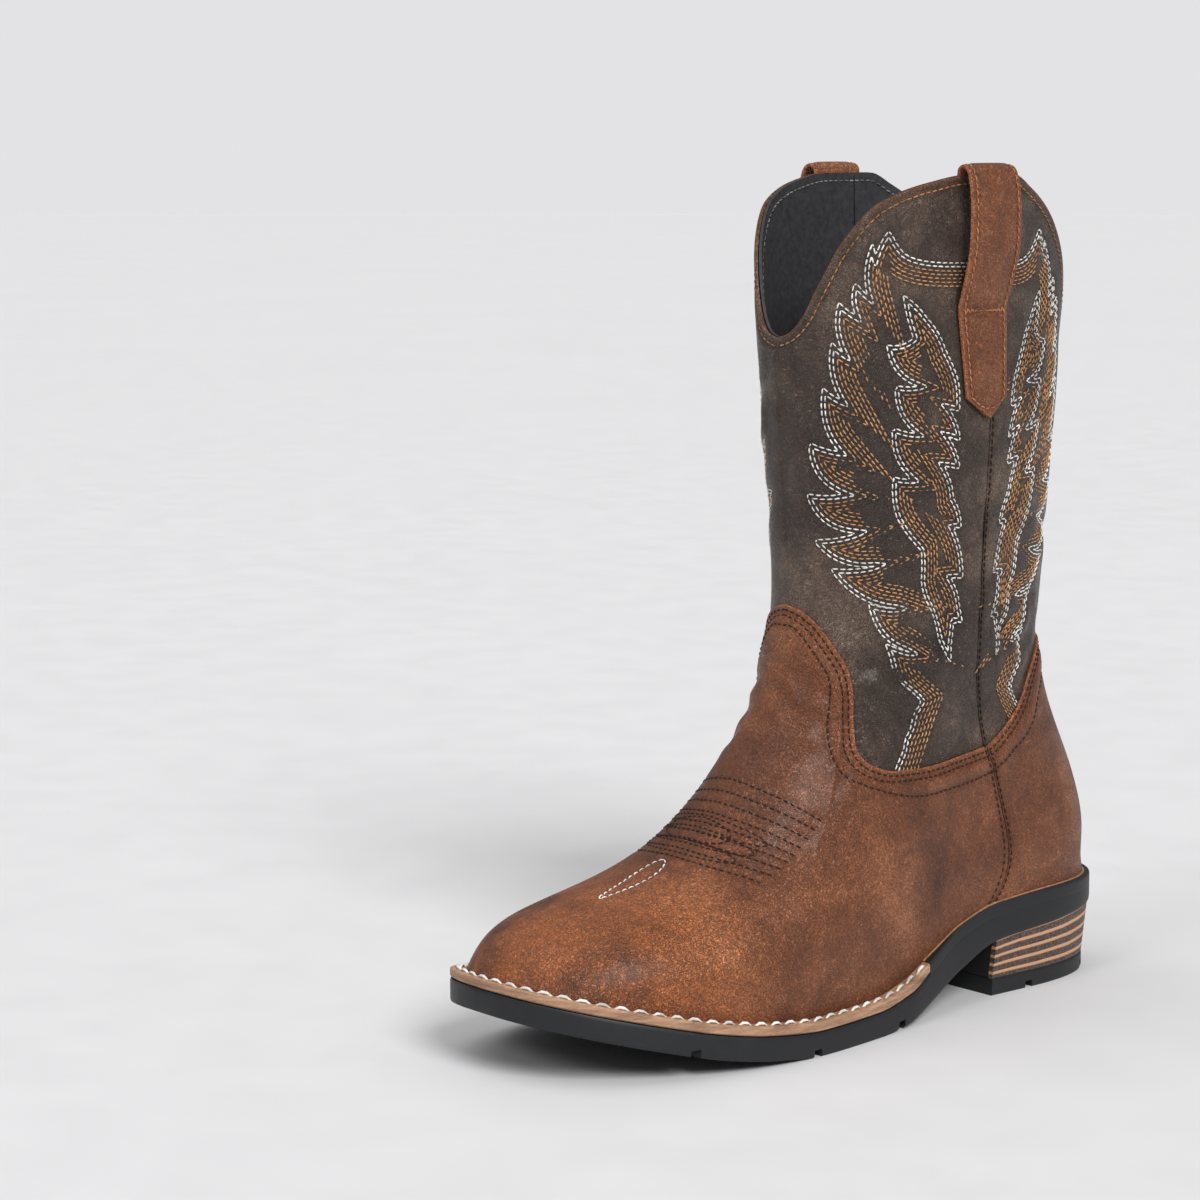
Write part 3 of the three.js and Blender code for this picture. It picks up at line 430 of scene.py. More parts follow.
ROW_GAP = 1.45
TAN_GAP = 0.2  # more, between the white rows and the tan ones
WHITE_ROWS = 2
TAN_ROWS = 5
BACK_WIDTH = 0.68


def embroidery():
    """Rows of the shaft's pattern by colour, as lines of s and z."""
    wing, loop = bowed(WING), bowed(LOOP)
    whole = np.vstack([wing, rounded(CROSSBAND)[1:-1], to_back(wing)[::-1]])
    rows = {"white": [], "tan": []}
    for k in range(WHITE_ROWS + TAN_ROWS):
        colour = "white" if k < WHITE_ROWS else "tan"
        away = k * ROW_GAP + (TAN_GAP if k >= WHITE_ROWS else 0)
        rows[colour] += inset(whole, away)
        if k < WHITE_ROWS + TAN_ROWS - 1:
            rows[colour] += inset(loop, away, 1, True)
            rows[colour] += inset(to_back(loop), away, -1, True)
    return rows


def laid_on_shaft(line, side):
    """Points and normals of a line of s and z on the outside of the shaft, or None if under the vamp."""
    girth, level = on_panel(side, line[:, 0], line[:, 1])
    z = surface(girth, level)[:, 2]
    seen = z > vamp_edge(fold(girth)) - 1.5
    if seen.sum() < 4:
        return None
    girth, level, z = girth[seen], level[seen], z[seen]
    return off_surface(girth, level, shaft_relief(girth, z) - PRESS), outward(girth, level)


# ---------------------------------------------------------------------------------------------
# Meshes.


def unit_block(across, length, deep):
    """A closed block from 0 to 1 each way, with fine grids on its two large faces."""
    bm = bmesh.new()
    bmesh.ops.create_grid(bm, x_segments=across, y_segments=length, size=0.5)
    bmesh.ops.translate(bm, verts=bm.verts[:], vec=(0.5, 0.5, 0))
    twin = bmesh.ops.duplicate(bm, geom=bm.verts[:] + bm.edges[:] + bm.faces[:])["geom"]
    bmesh.ops.translate(bm, verts=[g for g in twin if isinstance(g, bmesh.types.BMVert)], vec=(0, 0, 1))
    bmesh.ops.bridge_loops(bm, edges=[e for e in bm.edges if e.is_boundary])
    if deep > 1:
        uprights = [e for e in bm.edges if abs(e.verts[0].co.z - e.verts[1].co.z) > 0.5]
        bmesh.ops.subdivide_edges(bm, edges=uprights, cuts=deep - 1)
    bmesh.ops.recalc_face_normals(bm, faces=bm.faces[:])
    return bm


def coordinates(mesh):
    co = np.empty(len(mesh.vertices) * 3)
    mesh.vertices.foreach_get("co", co)
    return co.reshape(-1, 3)


def mark(mesh, name, values):
    layer = mesh.attributes.new(name, "FLOAT", "POINT")
    layer.data.foreach_set("value", np.asarray(values, np.float32))


def put(bm, name, place, marks=None):
    """Bends a straight mesh to its place. place turns unit coordinates into millimetres."""
    mesh = bpy.data.meshes.new(name)
    bm.to_mesh(mesh)
    bm.free()
    unit = coordinates(mesh)
    at = place(*unit.T)
    mesh.vertices.foreach_set("co", (at * MM).astype(np.float32).ravel())
    mesh.update()
    mesh.calc_loop_triangles()
    corners = np.empty(len(mesh.loop_triangles) * 3, int)
    mesh.loop_triangles.foreach_get("vertices", corners)
    a, b, c = at[corners].reshape(-1, 3, 3).transpose(1, 0, 2)
    if np.einsum("ij,ij->i", a, np.cross(b, c)).sum() < 0:
        mesh.flip_normals()
    for key, value in (marks or {}).items():
        mark(mesh, key, value(unit, at))
    piece = bpy.data.objects.new(name, mesh)
    bpy.context.scene.collection.objects.link(piece)
    return piece


def finish(piece, material, slot, *nodes, angle=40):
    mesh = piece.data
    mesh.materials.clear()
    mesh.materials.append(material)
    mesh.shade_smooth()
    mesh.set_sharp_from_angle(angle=math.radians(angle))
    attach(piece, "root")
    if nodes:
        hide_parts(*nodes)
    return piece


def nearest(points, spots):
    """Distance from each point to the nearest of many spots, in millimetres."""
    tree = kdtree.KDTree(len(spots))
    for i, spot in enumerate(spots):
        tree.insert(spot, i)
    tree.balance()
    return np.array([tree.find(point)[2] for point in points])


SEWN = {"shaft": [], "foot": [], "strap": []}  # dense points of the sewing that pulls leather down


def stitch_bar(count):
    """A straight run of stitches, one for each unit along x."""
    bm = bmesh.new()
    bmesh.ops.create_cone(bm, cap_ends=True, segments=5, radius1=1, radius2=1, depth=0.9)
    for v in bm.verts:
        x, y, z = v.co
        v.co = (z + 0.5, y, x)
    lengthwise = [e for e in bm.edges if abs(e.verts[0].co.x - e.verts[1].co.x) > 0.5]
    bmesh.ops.subdivide_edges(bm, edges=lengthwise, cuts=2)
    have = 1
    while have < count:
        extra = min(have, count - have)
        source = [v for v in bm.verts if v.co.x < extra] if extra < have else bm.verts[:]
        faces = {f for v in source for f in v.link_faces}
        edges = {e for v in source for e in v.link_edges}
        twin = bmesh.ops.duplicate(bm, geom=list(source) + list(edges) + list(faces))["geom"]
        moved = [g for g in twin if isinstance(g, bmesh.types.BMVert)]
        bmesh.ops.translate(bm, verts=moved, vec=(have, 0, 0))
        have += extra
    bmesh.ops.recalc_face_normals(bm, faces=bm.faces[:])
    return bm


def sew(name, rows, material, slot, pitch, radius, group=None, swing=0.0):
    """One piece of thread for many rows of stitches. A row is dense points and their normals."""
    middles, runs, normals, spots = [], [], [], []
    for points, out in filter(None, rows):
        length = arc(points)
        total = length[-1]
        count = int(round(total / pitch))
        if count < 1:
            continue
        ends = along(points, np.linspace(0, total, count + 1))
        middles.append((ends[1:] + ends[:-1]) / 2)
        runs.append(ends[1:] - ends[:-1])
        centre = (np.arange(count) + 0.5) * total / count
        normals.append(np.stack([np.interp(centre, length, column) for column in out.T], 1))
        spots.append(along(points, np.arange(0, total, 0.8)))
    if group:
        SEWN[group].extend(np.concatenate(spots))
    middle, run, normal = map(np.concatenate, (middles, runs, normals))
    normal = normal / np.linalg.norm(normal, axis=1, keepdims=True)
    across = np.cross(normal, run)
    across = across / np.linalg.norm(across, axis=1, keepdims=True)
    jitter = np.random.RandomState(len(middle)).uniform(-1, 1, (len(middle), 2))
    run = run + across * (jitter[:, :1] * 0.16 + swing)

    def place(x, y, z):
        i = np.clip(np.floor(x).astype(int), 0, len(middle) - 1)
        lengthwise = (x - i - 0.5)[:, None]
        end = (np.abs(lengthwise) / 0.45) ** 4  # 0 in the middle of a stitch, 1 where it dips
        thick = radius * (1 - 0.5 * end) * (1 + 0.08 * jitter[i, 1:])
        lift = z[:, None] * thick * 0.85 + radius * (0.95 - 1.5 * end)
        return middle[i] + run[i] * lengthwise + across[i] * y[:, None] * thick + normal[i] * lift

    piece = put(stitch_bar(len(middle)), name, place)
    return finish(piece, material, slot, angle=80)


# ---------------------------------------------------------------------------------------------
# Pieces of the upper.

SHAFT_THICK = 1.5
LEATHER = 1.45
LINING_FACES = (-1.92, -3.02)
SEAM_GAP = 0.003
FRONT_HALF = (-1 + SEAM_GAP, 1 - SEAM_GAP)
BACK_HALF = (1 + SEAM_GAP, 3 - SEAM_GAP)
SHAFT_BELOW = 12
LINING_JOIN = 6
# From the turned-in edge to the feather line: distance out of both faces, height over that line.
MARGIN = np.array([
    (-11.4, -9.95, -2.15, -3.6), (-1.0, -0.35, -2.15, -3.6), (0.35, 1.7, -1.15, -2.5), (0.6, 2.05, 0, 0),
])
MARGIN_SHARE = 0.06  # of the rows of a foot piece


def lerp(a, b, t):
    return a + (b - a) * t


def pressed(points, group, reach=1.5):
    return PRESS * np.exp(-((nearest(points, SEWN[group]) / reach) ** 2))


def seam_groove(girth):
    """Depth of the groove where the front and back panels meet."""
    return 0.5 * np.exp(-(((1 - fold(girth)) * AROUND / 1.3) ** 2))


def shaft_outside(girth, z):
    return shaft_relief(girth, z) - seam_groove(girth)


def edge_distance(girth, z, curve):
    """Distance below a curved edge, square to it."""
    t = fold(girth)
    slope = (curve(np.minimum(t + 0.01, 2)) - curve(np.maximum(t - 0.01, 0))) / (0.02 * AROUND)
    return (curve(t) - z) / np.sqrt(1 + slope**2)


def vamp_inside(girth, z):
    """The vamp's inner face comes down onto the shaft toward its edge."""
    return 0.6 - 0.52 * ease(9, 0.5, edge_distance(girth, z, vamp_edge))


def vamp_outside(girth, z):
    away = edge_distance(girth, z, vamp_edge)
    collar = 0.45 * ease(4, 6.5, away) * ease(12.5, 9.5, away) * ease(60, 90, z)
    return vamp_inside(girth, z) + LEATHER + vamp_relief(girth, z) + collar - 0.8 * seam_groove(girth)


def to_seam(group):
    return lambda unit, at: nearest(at, SEWN[group])


def shaft_piece(name, girths, columns, material):
    def place(u, v, w):
        girth = lerp(*girths, u)
        corner = 0.5 * (2 * w - 1) ** 4
        low = level_at(girth, vamp_edge(fold(girth)) - SHAFT_BELOW)
        high = level_at(girth, topline(fold(girth)) - corner)
        level = lerp(low, high, v)
        z = surface(girth, level)[:, 2]
        out = -SHAFT_THICK * (1 - w)
        face = w > 0.99
        relief = shaft_outside(girth[face], z[face])
        out[face] += relief - pressed(off_surface(girth[face], level[face], relief), "shaft")
        return off_surface(girth, level, out)

    marks = {"edge": lambda unit, at: (1 - unit[:, 1]) * 180, "seam": to_seam("shaft")}
    return finish(put(unit_block(columns, 220, 2), name, place, marks), material, "shaft_leather", name)


def lining_piece(name, girths, low, high, material):
    def place(u, v, w):
        girth = lerp(*girths, u)
        level = lerp(low(girth), high(girth), v)
        at = surface(girth, level)
        clear = ease(0, 9, topline(fold(girth)) - at[:, 2])
        out = lerp(LINING_FACES[1], LINING_FACES[0], w) + (1 - w) * 0.2 * ripple(at, 17, 12) * clear
        return off_surface(girth, level, out)

    return finish(put(unit_block(90, 80, 1), name, place), material, "lining", name)


def lining_start(girth):
    low, high = np.zeros(girth.shape), np.full(girth.shape, 2.0)
    for _ in range(14):
        middle = (low + high) / 2
        under = np.zeros(girth.shape, bool)
        for out in (0.0, LINING_FACES[1]):
            at = off_surface(girth, middle, np.full(girth.shape, out))
            under |= at[:, 2] < feather(at[:, 0]) + 1.4
        low, high = np.where(under, middle, low), np.where(under, high, middle)
    return high


def foot_piece(name, girths, columns, material):
    def place(u, v, w):
        girth = lerp(*girths, u)
        corner = 0.45 * (2 * w - 1) ** 4
        up = np.clip((v - MARGIN_SHARE) / (1 - MARGIN_SHARE), 0, 1)
        level = level_at(girth, vamp_edge(fold(girth)) - corner) * up
        z = surface(girth, level)[:, 2]
        outside = vamp_outside(girth, z)
        outside = outside - pressed(off_surface(girth, level, outside), "foot")
        at = off_surface(girth, level, lerp(vamp_inside(girth, z), outside, w))
        turned = v < MARGIN_SHARE - 1e-6
        girth, w, start = girth[turned], w[turned], np.zeros(turned.sum())
        step = v[turned] / MARGIN_SHARE * 3
        near, far, low, high = (np.interp(step, range(4), column) for column in MARGIN.T)
        away = outward(girth, start) * (1, 1, 0)
        away /= np.linalg.norm(away, axis=1, keepdims=True)
        rim = surface(girth, start) + away * lerp(near, far, w)[:, None]
        rim[:, 2] = feather(rim[:, 0]) + lerp(low, high, w)
        at[turned] = rim
        return at

    def to_edge(unit, at):
        girth = lerp(*girths, unit[:, 0])
        return np.abs(edge_distance(girth, at[:, 2], vamp_edge)) + 30 * (unit[:, 1] < 0.8)

    marks = {"edge": to_edge, "seam": to_seam("foot")}
    return finish(put(unit_block(columns, 150, 2), name, place, marks), material, "foot_leather", name)


def chart_rows(curve, distances, last):
    """Rows of girth and height that run at distances below an edge, from the front to a girth."""
    girth = np.arange(0, last, 0.004)
    line = np.stack([girth * AROUND, curve(np.clip(girth, 0, 2))], 1)
    return [piece / (AROUND, 1) for distance in distances for piece in inset(line, distance, -1)]


def laid_on_foot(line, side):
    """Points and normals of a line of girth and height on the outside of the vamp and foxing."""
    girth = side * line[:, 0]
    level = level_at(girth, line[:, 1])
    out = vamp_outside(girth, surface(girth, level)[:, 2]) - PRESS
    return off_surface(girth, level, out), outward(girth, level)


def foot_rows():
    """Dark rows of the edge and the side seams of the vamp and foxing."""
    rows = []
    third = rounded([(t * AROUND, z) for t, z in VAMP_THIRD_ROW]) / (AROUND, 1)
    z = np.linspace(104, 37, 130)
    for side in (-1, 1):
        lines = [*chart_rows(vamp_edge, (1.9, 4.1), 1.985), third]
        lines += [np.stack([1 + aside + 0 * z, z - 3 * (aside > 0)], 1) for aside in (-0.013, 0.013)]
        rows += [laid_on_foot(line, side) for line in lines]
    return rows


FAN_ENDS = [  # girth of a row's ends, their height and the height of its middle
    (0.34, 83, 96.5), (0.332, 80, 92.3), (0.322, 77, 88.5), (0.312, 74.2, 84.9), (0.303, 71.8, 81.4),
    (0.295, 69.5, 78.2), (0.285, 67.2, 75.2), (0.275, 65, 72.4), (0.262, 62.8, 69.8),
]


FAN_OVALS = ((81, 0.22, 5.2), (77, 0.2, 5.4), (73.4, 0.17, 4.6), (79, 0.12, 7.6))  # height, width, drop


def fan_rows():
    """Rows of stitches across the top of the toes, with ovals woven through the lower ones."""
    rows = []
    share = np.linspace(-1, 1, 160)
    for end, low, high in FAN_ENDS:
        z = high - (high - low) * np.abs(share) ** 1.7
        rows.append(laid_on_foot(np.stack([share * end, z], 1), 1))
    around = np.linspace(0, 2 * np.pi, 180)
    for centre, width, drop in FAN_OVALS:
        t = width * np.cos(around)
        z = centre + drop * 0.5 * np.sin(around) - 7.5 * np.abs(t / 0.26) ** 1.7
        rows.append(laid_on_foot(np.stack([t, z], 1), 1))
    return rows


def drop_row():
    """The pointed drop on the toe's middle line."""
    u = np.linspace(0, 1, 80)
    half = 0.027 * np.sin(np.pi * u**0.8) ** 0.8 * (1 - 0.25 * u)
    z = 68.4 - 11.4 * u
    side = np.concatenate([half, -half[::-1]])
    return laid_on_foot(np.stack([side, np.concatenate([z, z[::-1]])], 1), 1)


# ---------------------------------------------------------------------------------------------
# Pull straps.

STRAP_THICK = 2.2
STRAP_TAIL = 94  # the tail's end and the bar of stitches above it, down from the topline
STRAP_BAR = 52
STRAP_TIP = 8
STRAP_WIDTHS = (22, 26)  # at the tail, and from the bar up
STRAP_LEAN = (3.5, 8.5)  # to the front of the side seam, at the same places
STRAP_LOOP = 6  # how far the loop stands off the shaft
STRAP_RISE = 4.2  # over the topline
TOP_HEIGHT = 329


def strap_route():
    """The strap's middle layer as distance off the shaft and height over the topline."""
    half = STRAP_THICK / 2
    sewn, loop, end = half + 0.3, STRAP_LOOP + half, LINING_FACES[1] / 2
    turns = [
        (sewn, -STRAP_TAIL), (sewn, -86), (sewn, -66), (sewn, -STRAP_BAR - 1), (sewn + 0.4, -49),
        (lerp(sewn, loop, 0.6), -39), (loop, -28), (loop + 0.2, -17), (loop - 0.5, -7),
        (loop - 2.6, 0.8), (1.6, STRAP_RISE - half), (end + 0.6, STRAP_RISE - half - 0.9), (end, 0.45),
        (end, -1.5),
    ]
    return evenly(rounded(turns, 0.4), 321)


ROUTE = strap_route()
ROUTE_LENGTH = arc(ROUTE)[-1]
ROUTE_RUN = np.gradient(ROUTE, axis=0) / np.linalg.norm(np.gradient(ROUTE, axis=0), axis=1, keepdims=True)


def strap_half_width(from_tail):
    width = lerp(*STRAP_WIDTHS, np.clip(from_tail / (STRAP_TAIL - STRAP_BAR), 0, 1))
    return width / 2 * lerp(0.06, 1, np.clip(from_tail / STRAP_TIP, 0, 1))


def strap_point(side, aside, from_tail, thick):
    """A point aside of a strap's middle, along it from its tail, and out from its middle layer."""
    place = from_tail / ROUTE_LENGTH * (len(ROUTE) - 1)
    index = np.arange(len(ROUTE))
    out, up, run_out, run_up = (np.interp(place, index, column) for column in (*ROUTE.T, *ROUTE_RUN.T))
    out = out + thick * run_up
    height = TOP_HEIGHT + up - thick * run_out
    across = aside + lerp(*STRAP_LEAN, np.clip(from_tail / (STRAP_TAIL - STRAP_BAR), 0, 1))
    middle = np.full(len(out), float(side))
    level = level_at(middle, np.minimum(height, 343))
    base = surface(middle, level)
    per_girth = np.linalg.norm(surface(middle * 0.95, level) - base, axis=1) / 0.05
    point = off_surface(side * (1 - across / per_girth), level, out)
    point[:, 2] += height - base[:, 2]
    return point


def strap_rows(side):
    """The row inside a strap's edges, and the zigzag bar across it."""
    length = np.linspace(ROUTE_LENGTH * 0.96, 4.6, 420)
    half = strap_half_width(length) - 2.5
    edge = np.concatenate([-half, [0], half[::-1]]), np.concatenate([length, [3.6], length[::-1]])
    steps = np.arange(19)
    teeth = STRAP_TAIL - STRAP_BAR + np.where(steps % 2, 1.5, -1.5)
    bar = evenly(np.stack([lerp(-10.2, 10.2, steps / 18), teeth], 1), 200).T
    rows = []
    for aside, from_tail in (edge, bar):
        low, high = (
            strap_point(side, aside, from_tail, np.full(len(aside), out))
            for out in (0.5, STRAP_THICK / 2 - 0.25)
        )
        rows.append((high, (high - low) / np.linalg.norm(high - low, axis=1, keepdims=True)))
    return rows


def strap_piece(name, side, material):
    def place(u, v, w):
        from_tail = v * ROUTE_LENGTH
        half = strap_half_width(from_tail)
        round_off = 0.45 * np.abs(2 * u - 1) ** 14
        thick = (w - 0.5) * (STRAP_THICK - 2 * round_off)
        crown = 0.2 * (1 - (2 * u - 1) ** 2)
        aside = (u - 0.5) * 2 * (half - 0.3 * np.abs(2 * w - 1) ** 4)
        at = strap_point(side, aside, from_tail, thick)
        lower = pressed(at, "strap", 1.3) * (w > 0.5)
        return strap_point(side, aside, from_tail, thick + (crown - lower) * (w > 0.5))

    def to_edge(unit, at):
        half = strap_half_width(unit[:, 1] * ROUTE_LENGTH)
        return np.minimum((1 - np.abs(2 * unit[:, 0] - 1)) * half, unit[:, 1] * ROUTE_LENGTH)

    marks = {"edge": to_edge, "seam": to_seam("strap")}
    return finish(put(unit_block(36, 260, 2), name, place, marks), material, "foot_leather", name)


# ---------------------------------------------------------------------------------------------
# Pieces of the sole and heel.

PLAN_BACK, PLAN_FRONT = OUTER_PLAN[-1, 0], OUTER_PLAN[0, 0]
FEATHER_BACK, FEATHER_LENGTH, FEATHER_HALF_WIDTH = -36, 296, 48
UPPER_FOOT = 2.05
SEAT = UPPER_FOOT + 0.3
WELT_END = 84
HEEL_BREAST = 38
HEEL_LIFT = 6.8
GROOVE_WIDTH = 4
GROOVE_DEPTH = 2.6
SOLE_GROOVES = (104, 155.5, 212)
LIFT_GROOVES = (-26, 16)


def sole_edge(x):
    return UPPER_FOOT + ledge(x)


def outline(reach):
    """The plan of the sole, a distance out from the feather line, from the toe back on each side."""
    whole = np.concatenate([OUTER_PLAN, INNER_PLAN[1:-1][::-1]])
    along_foot = FEATHER_BACK + (whole[:, 0] - PLAN_BACK) * FEATHER_LENGTH / (PLAN_FRONT - PLAN_BACK)
    whole = np.stack([along_foot, whole[:, 1] * FEATHER_HALF_WIDTH / HALF_WIDTH], 1)
    run = np.roll(whole, -1, axis=0) - np.roll(whole, 1, axis=0)
    away = np.stack([run[:, 1], -run[:, 0]], 1) / np.linalg.norm(run, axis=1, keepdims=True)
    moved = whole + away * np.broadcast_to(reach(whole[:, 0]), len(whole))[:, None]
    return moved[: SPLIT + 1], np.concatenate([moved[SPLIT:], moved[:1]])[::-1]


def width_at(side_line, x):
    back_first = side_line[::-1]
    return np.interp(x, np.maximum.accumulate(back_first[:, 0]), back_first[:, 1])


def spread(first, last, count, round_front):
    """Places along the foot, closer together at its round ends."""
    u = np.linspace(0, 1, count)
    u = (1 - np.cos(np.pi * u)) / 2 if round_front else 1 - np.cos(np.pi * u / 2)
    return lerp(first, last, u)


EDGE_HEIGHTS = np.array([0, 0.05, 0.17, 0.5, 0.83, 0.95, 1])  # rows up the edge of a sole block
EDGE_SHRINKS = np.array([1, 0.3, 0, 0, 0, 0.3, 1])


def sole_block(name, reach, bottom, top, to=None, columns=240, crown=0.6, grooves=()):
    """A block across the foot, from the back to its round front or to a straight breast."""
    outer, inner = outline(reach)
    back, front = outer[-1, 0] + 0.05, outer[0, 0] - 0.05 if to is None else to
    walls = [x + s * (GROOVE_WIDTH / 2 + e) for x in grooves for s in (-1, 1) for e in (-0.06, 0.06)]
    places = np.sort(np.concatenate([spread(back, front, columns, to is None), walls]))

    def place(u, v, w):
        x = np.interp(u * (len(places) - 1), np.arange(len(places)), places)
        step = np.rint(w * 6).astype(int)
        shrink = EDGE_SHRINKS[step] * crown
        low = bottom(x)
        for groove in grooves:
            inside = np.abs(x - groove) < GROOVE_WIDTH / 2
            low = np.where(inside, bottom(np.array(float(groove))) + GROOVE_DEPTH, low)
        z = lerp(low, top(x), EDGE_HEIGHTS[step])
        y = lerp(width_at(inner, x) + shrink, width_at(outer, x) - shrink, v)
        x = x + shrink * ((1 - u) ** 60 - (0 if to else 1) * u**60)
        return np.stack([x, y, z], 1)

    return put(unit_block(len(places) - 1, 30, 6), name, place)


def outline_run(reach, end, front, count):
    """Part of an outline as an even line: round the toe, or round the heel."""
    outer, inner = outline(reach)
    if front:
        line = np.vstack([inner[::-1], outer[1:]])
        keep = line[:, 0] > end
    else:
        line = np.vstack([outer, inner[::-1][1:]])
        keep = line[:, 0] < end
    inside = np.flatnonzero(keep)
    first, last = inside[0], inside[-1]
    ends = []
    for near, far in ((first, first - 1), (last, last + 1)):
        t = (end - line[near, 0]) / (line[far, 0] - line[near, 0])
        ends.append(lerp(line[near], line[far], t))
    return evenly(np.vstack([ends[0], line[first : last + 1], ends[1]]), count)


def edge_strip(
    name, near, far, bottom, top, end, front=True, count=420, crown=0.5, draw=0.0, ribs=0, deep=6
):
    """A strip that follows the edge of the sole between two distances and two heights."""
    inner_line, outer_line = (outline_run(reach, end, front, count + 1) for reach in (near, far))
    drawn_inner, drawn_outer = (
        outline_run(lambda x: reach(x) - draw, end, front, count + 1) for reach in (near, far)
    )

    def place(u, v, w):
        i = np.rint(u * count).astype(int)
        inner = lerp(drawn_inner[i], inner_line[i], w[:, None])
        outer = lerp(drawn_outer[i], outer_line[i], w[:, None])
        run = outer - inner
        run = run / np.linalg.norm(run, axis=1, keepdims=True)
        corner = np.abs(2 * w - 1) ** 10
        face = ease(0.8, 1, v)
        rib = 0.16 * np.abs(np.sin(np.pi * ribs * w)) ** 0.5 - 0.16 if ribs else 0
        xy = lerp(inner, outer, v[:, None]) - run * ((crown * corner - rib) * face)[:, None]
        z = lerp(bottom(xy[:, 0]), top(xy[:, 0]), w)
        z = z - crown * 0.7 * face**2 * np.where(w > 0.5, corner, -corner)
        return np.column_stack([xy, z])

    return put(unit_block(count, 8, deep), name, place, {"share": lambda unit, at: unit[:, 2]})


def level_line(value):
    return lambda x: value + 0 * x


def beside(curve, value):
    """The same curve, a distance on."""
    return lambda x: curve(x) + value


def welt_row():
    line = outline_run(lambda x: UPPER_FOOT + 0.52 * ledge(x), WELT_END + 1.5, True, 900)
    wave = 0.35 * np.sin(arc(line) * 2 * np.pi / 10.4)  # the machine's wander
    run = np.gradient(line, axis=0)
    aside = np.stack([run[:, 1], -run[:, 0]], 1) / np.linalg.norm(run, axis=1, keepdims=True)
    line = line + aside * wave[:, None]
    points = np.column_stack([line, feather(line[:, 0]) + 0.05])
    return points, np.tile((0.0, 0.0, 1.0), (len(points), 1))


# ---------------------------------------------------------------------------------------------
# Materials.


def shade(red, green, blue):
    """A colour as the eye names it, 0 to 255, in the linear values that shaders use."""
    out = []
    for part in (red, green, blue):
        c = part / 255
        out.append(c / 12.92 if c <= 0.04045 else ((c + 0.055) / 1.055) ** 2.4)
    return tuple(out)


class Shading:
    """A short way to lay out shader nodes."""

    def __init__(self, tree):
        self.tree = tree

    def add(self, kind, inputs=None, **settings):
        node = self.tree.nodes.new("ShaderNode" + kind)
        for key, value in settings.items():
            setattr(node, key, value)
        for key, value in (inputs or {}).items():
            self.link(value, node.inputs[key])
        return node

    def link(self, value, socket):
        if isinstance(value, bpy.types.NodeSocket):
            self.tree.links.new(value, socket)
        elif isinstance(value, tuple) and len(value) == 3 and socket.type == "RGBA":
            socket.default_value = (*value, 1)
        else:
            socket.default_value = value

    def noise(self, vector, scale, detail=2.0, rough=0.5, distort=0.0):
        inputs = {"Scale": scale, "Detail": detail, "Roughness": rough, "Distortion": distort}
        return self.add("TexNoise", {"Vector": vector, **inputs}).outputs["Fac"]

    def math(self, kind, *values):
        return self.add("Math", dict(enumerate(values)), operation=kind).outputs[0]

    def times(self, a, b):
        return self.math("MULTIPLY", a, b)

    def plus(self, a, b):
        return self.math("ADD", a, b)

    def off_middle(self, value):
        return self.math("SUBTRACT", value, 0.5)

    def remap(self, value, low, high, to_low=0.0, to_high=1.0, smooth=True):
        inputs = {"Value": value, "From Min": low, "From Max": high, "To Min": to_low, "To Max": to_high}
        kind = "SMOOTHSTEP" if smooth else "LINEAR"
        return self.add("MapRange", inputs, interpolation_type=kind).outputs[0]

    def mix(self, share, a, b):
        return self.add("Mix", {0: share, 6: a, 7: b}, data_type="RGBA").outputs[2]

    def ramp(self, value, *stops):
        node = self.add("ValToRGB", {"Fac": value})
        band = node.color_ramp
        while len(band.elements) < len(stops):
            band.elements.new(0.5)
        for element, (place, colour) in zip(band.elements, stops):
            element.position = place
            element.color = (*colour, 1)
        return node.outputs[0]

    def attribute(self, name):
        return self.add("Attribute", attribute_name=name).outputs["Fac"]

    def position(self):
        return self.add("TexCoord").outputs["Object"]


def build_grain(s, at, out):
    """Leather grain: wandering worm-like creases over fine pebbles."""
    at = s.add("VectorMath", {0: at, "Scale": GRAIN_SCALE}, operation="SCALE").outputs[0]
    bent = s.noise(at, 0.16, 2.0, 0.5, 0.6)
    worms = s.noise(at, 0.4, 1.0, 0.4, 1.6)
    creases = s.remap(s.math("ABSOLUTE", s.off_middle(worms)), 0.0, 0.05)
    fine = s.noise(at, 0.85, 1.0, 0.5, 1.6)
    fine_creases = s.remap(s.math("ABSOLUTE", s.off_middle(fine)), 0.0, 0.07)
    cells = {"Vector": at, "Scale": 0.9, "Randomness": 1.0}
    pebbles = s.add("TexVoronoi", cells, feature="SMOOTH_F1").outputs["Distance"]
    total = s.plus(s.times(fine_creases, -0.22), s.times(creases, -0.6))
    total = s.plus(total, s.times(pebbles, -0.25))
    s.link(s.plus(total, s.times(bent, 0.35)), out["Height"])
    s.link(s.math("SUBTRACT", 1.0, creases), out["Crease"])
    s.link(s.remap(fine, 0.3, 0.72), out["Fleck"])


def build_tone(s, at, out):
    """Uneven dye: broad clouds, smaller patches and faint rubbed streaks."""
    clouds = s.noise(at, 17.0, 2.0, 0.5, 0.5)
    patches = s.noise(at, 58.0, 3.0, 0.55, 0.8)
    rubs = s.noise(at, 190.0, 3.0, 0.6, 1.2)
    mixed = s.plus(s.plus(s.times(clouds, 0.56), s.times(patches, 0.3)), s.times(rubs, 0.14))
    s.link(s.remap(mixed, 0.3, 0.7, smooth=False), out["Tone"])
    s.link(s.remap(patches, 0.4, 0.7), out["Patch"])


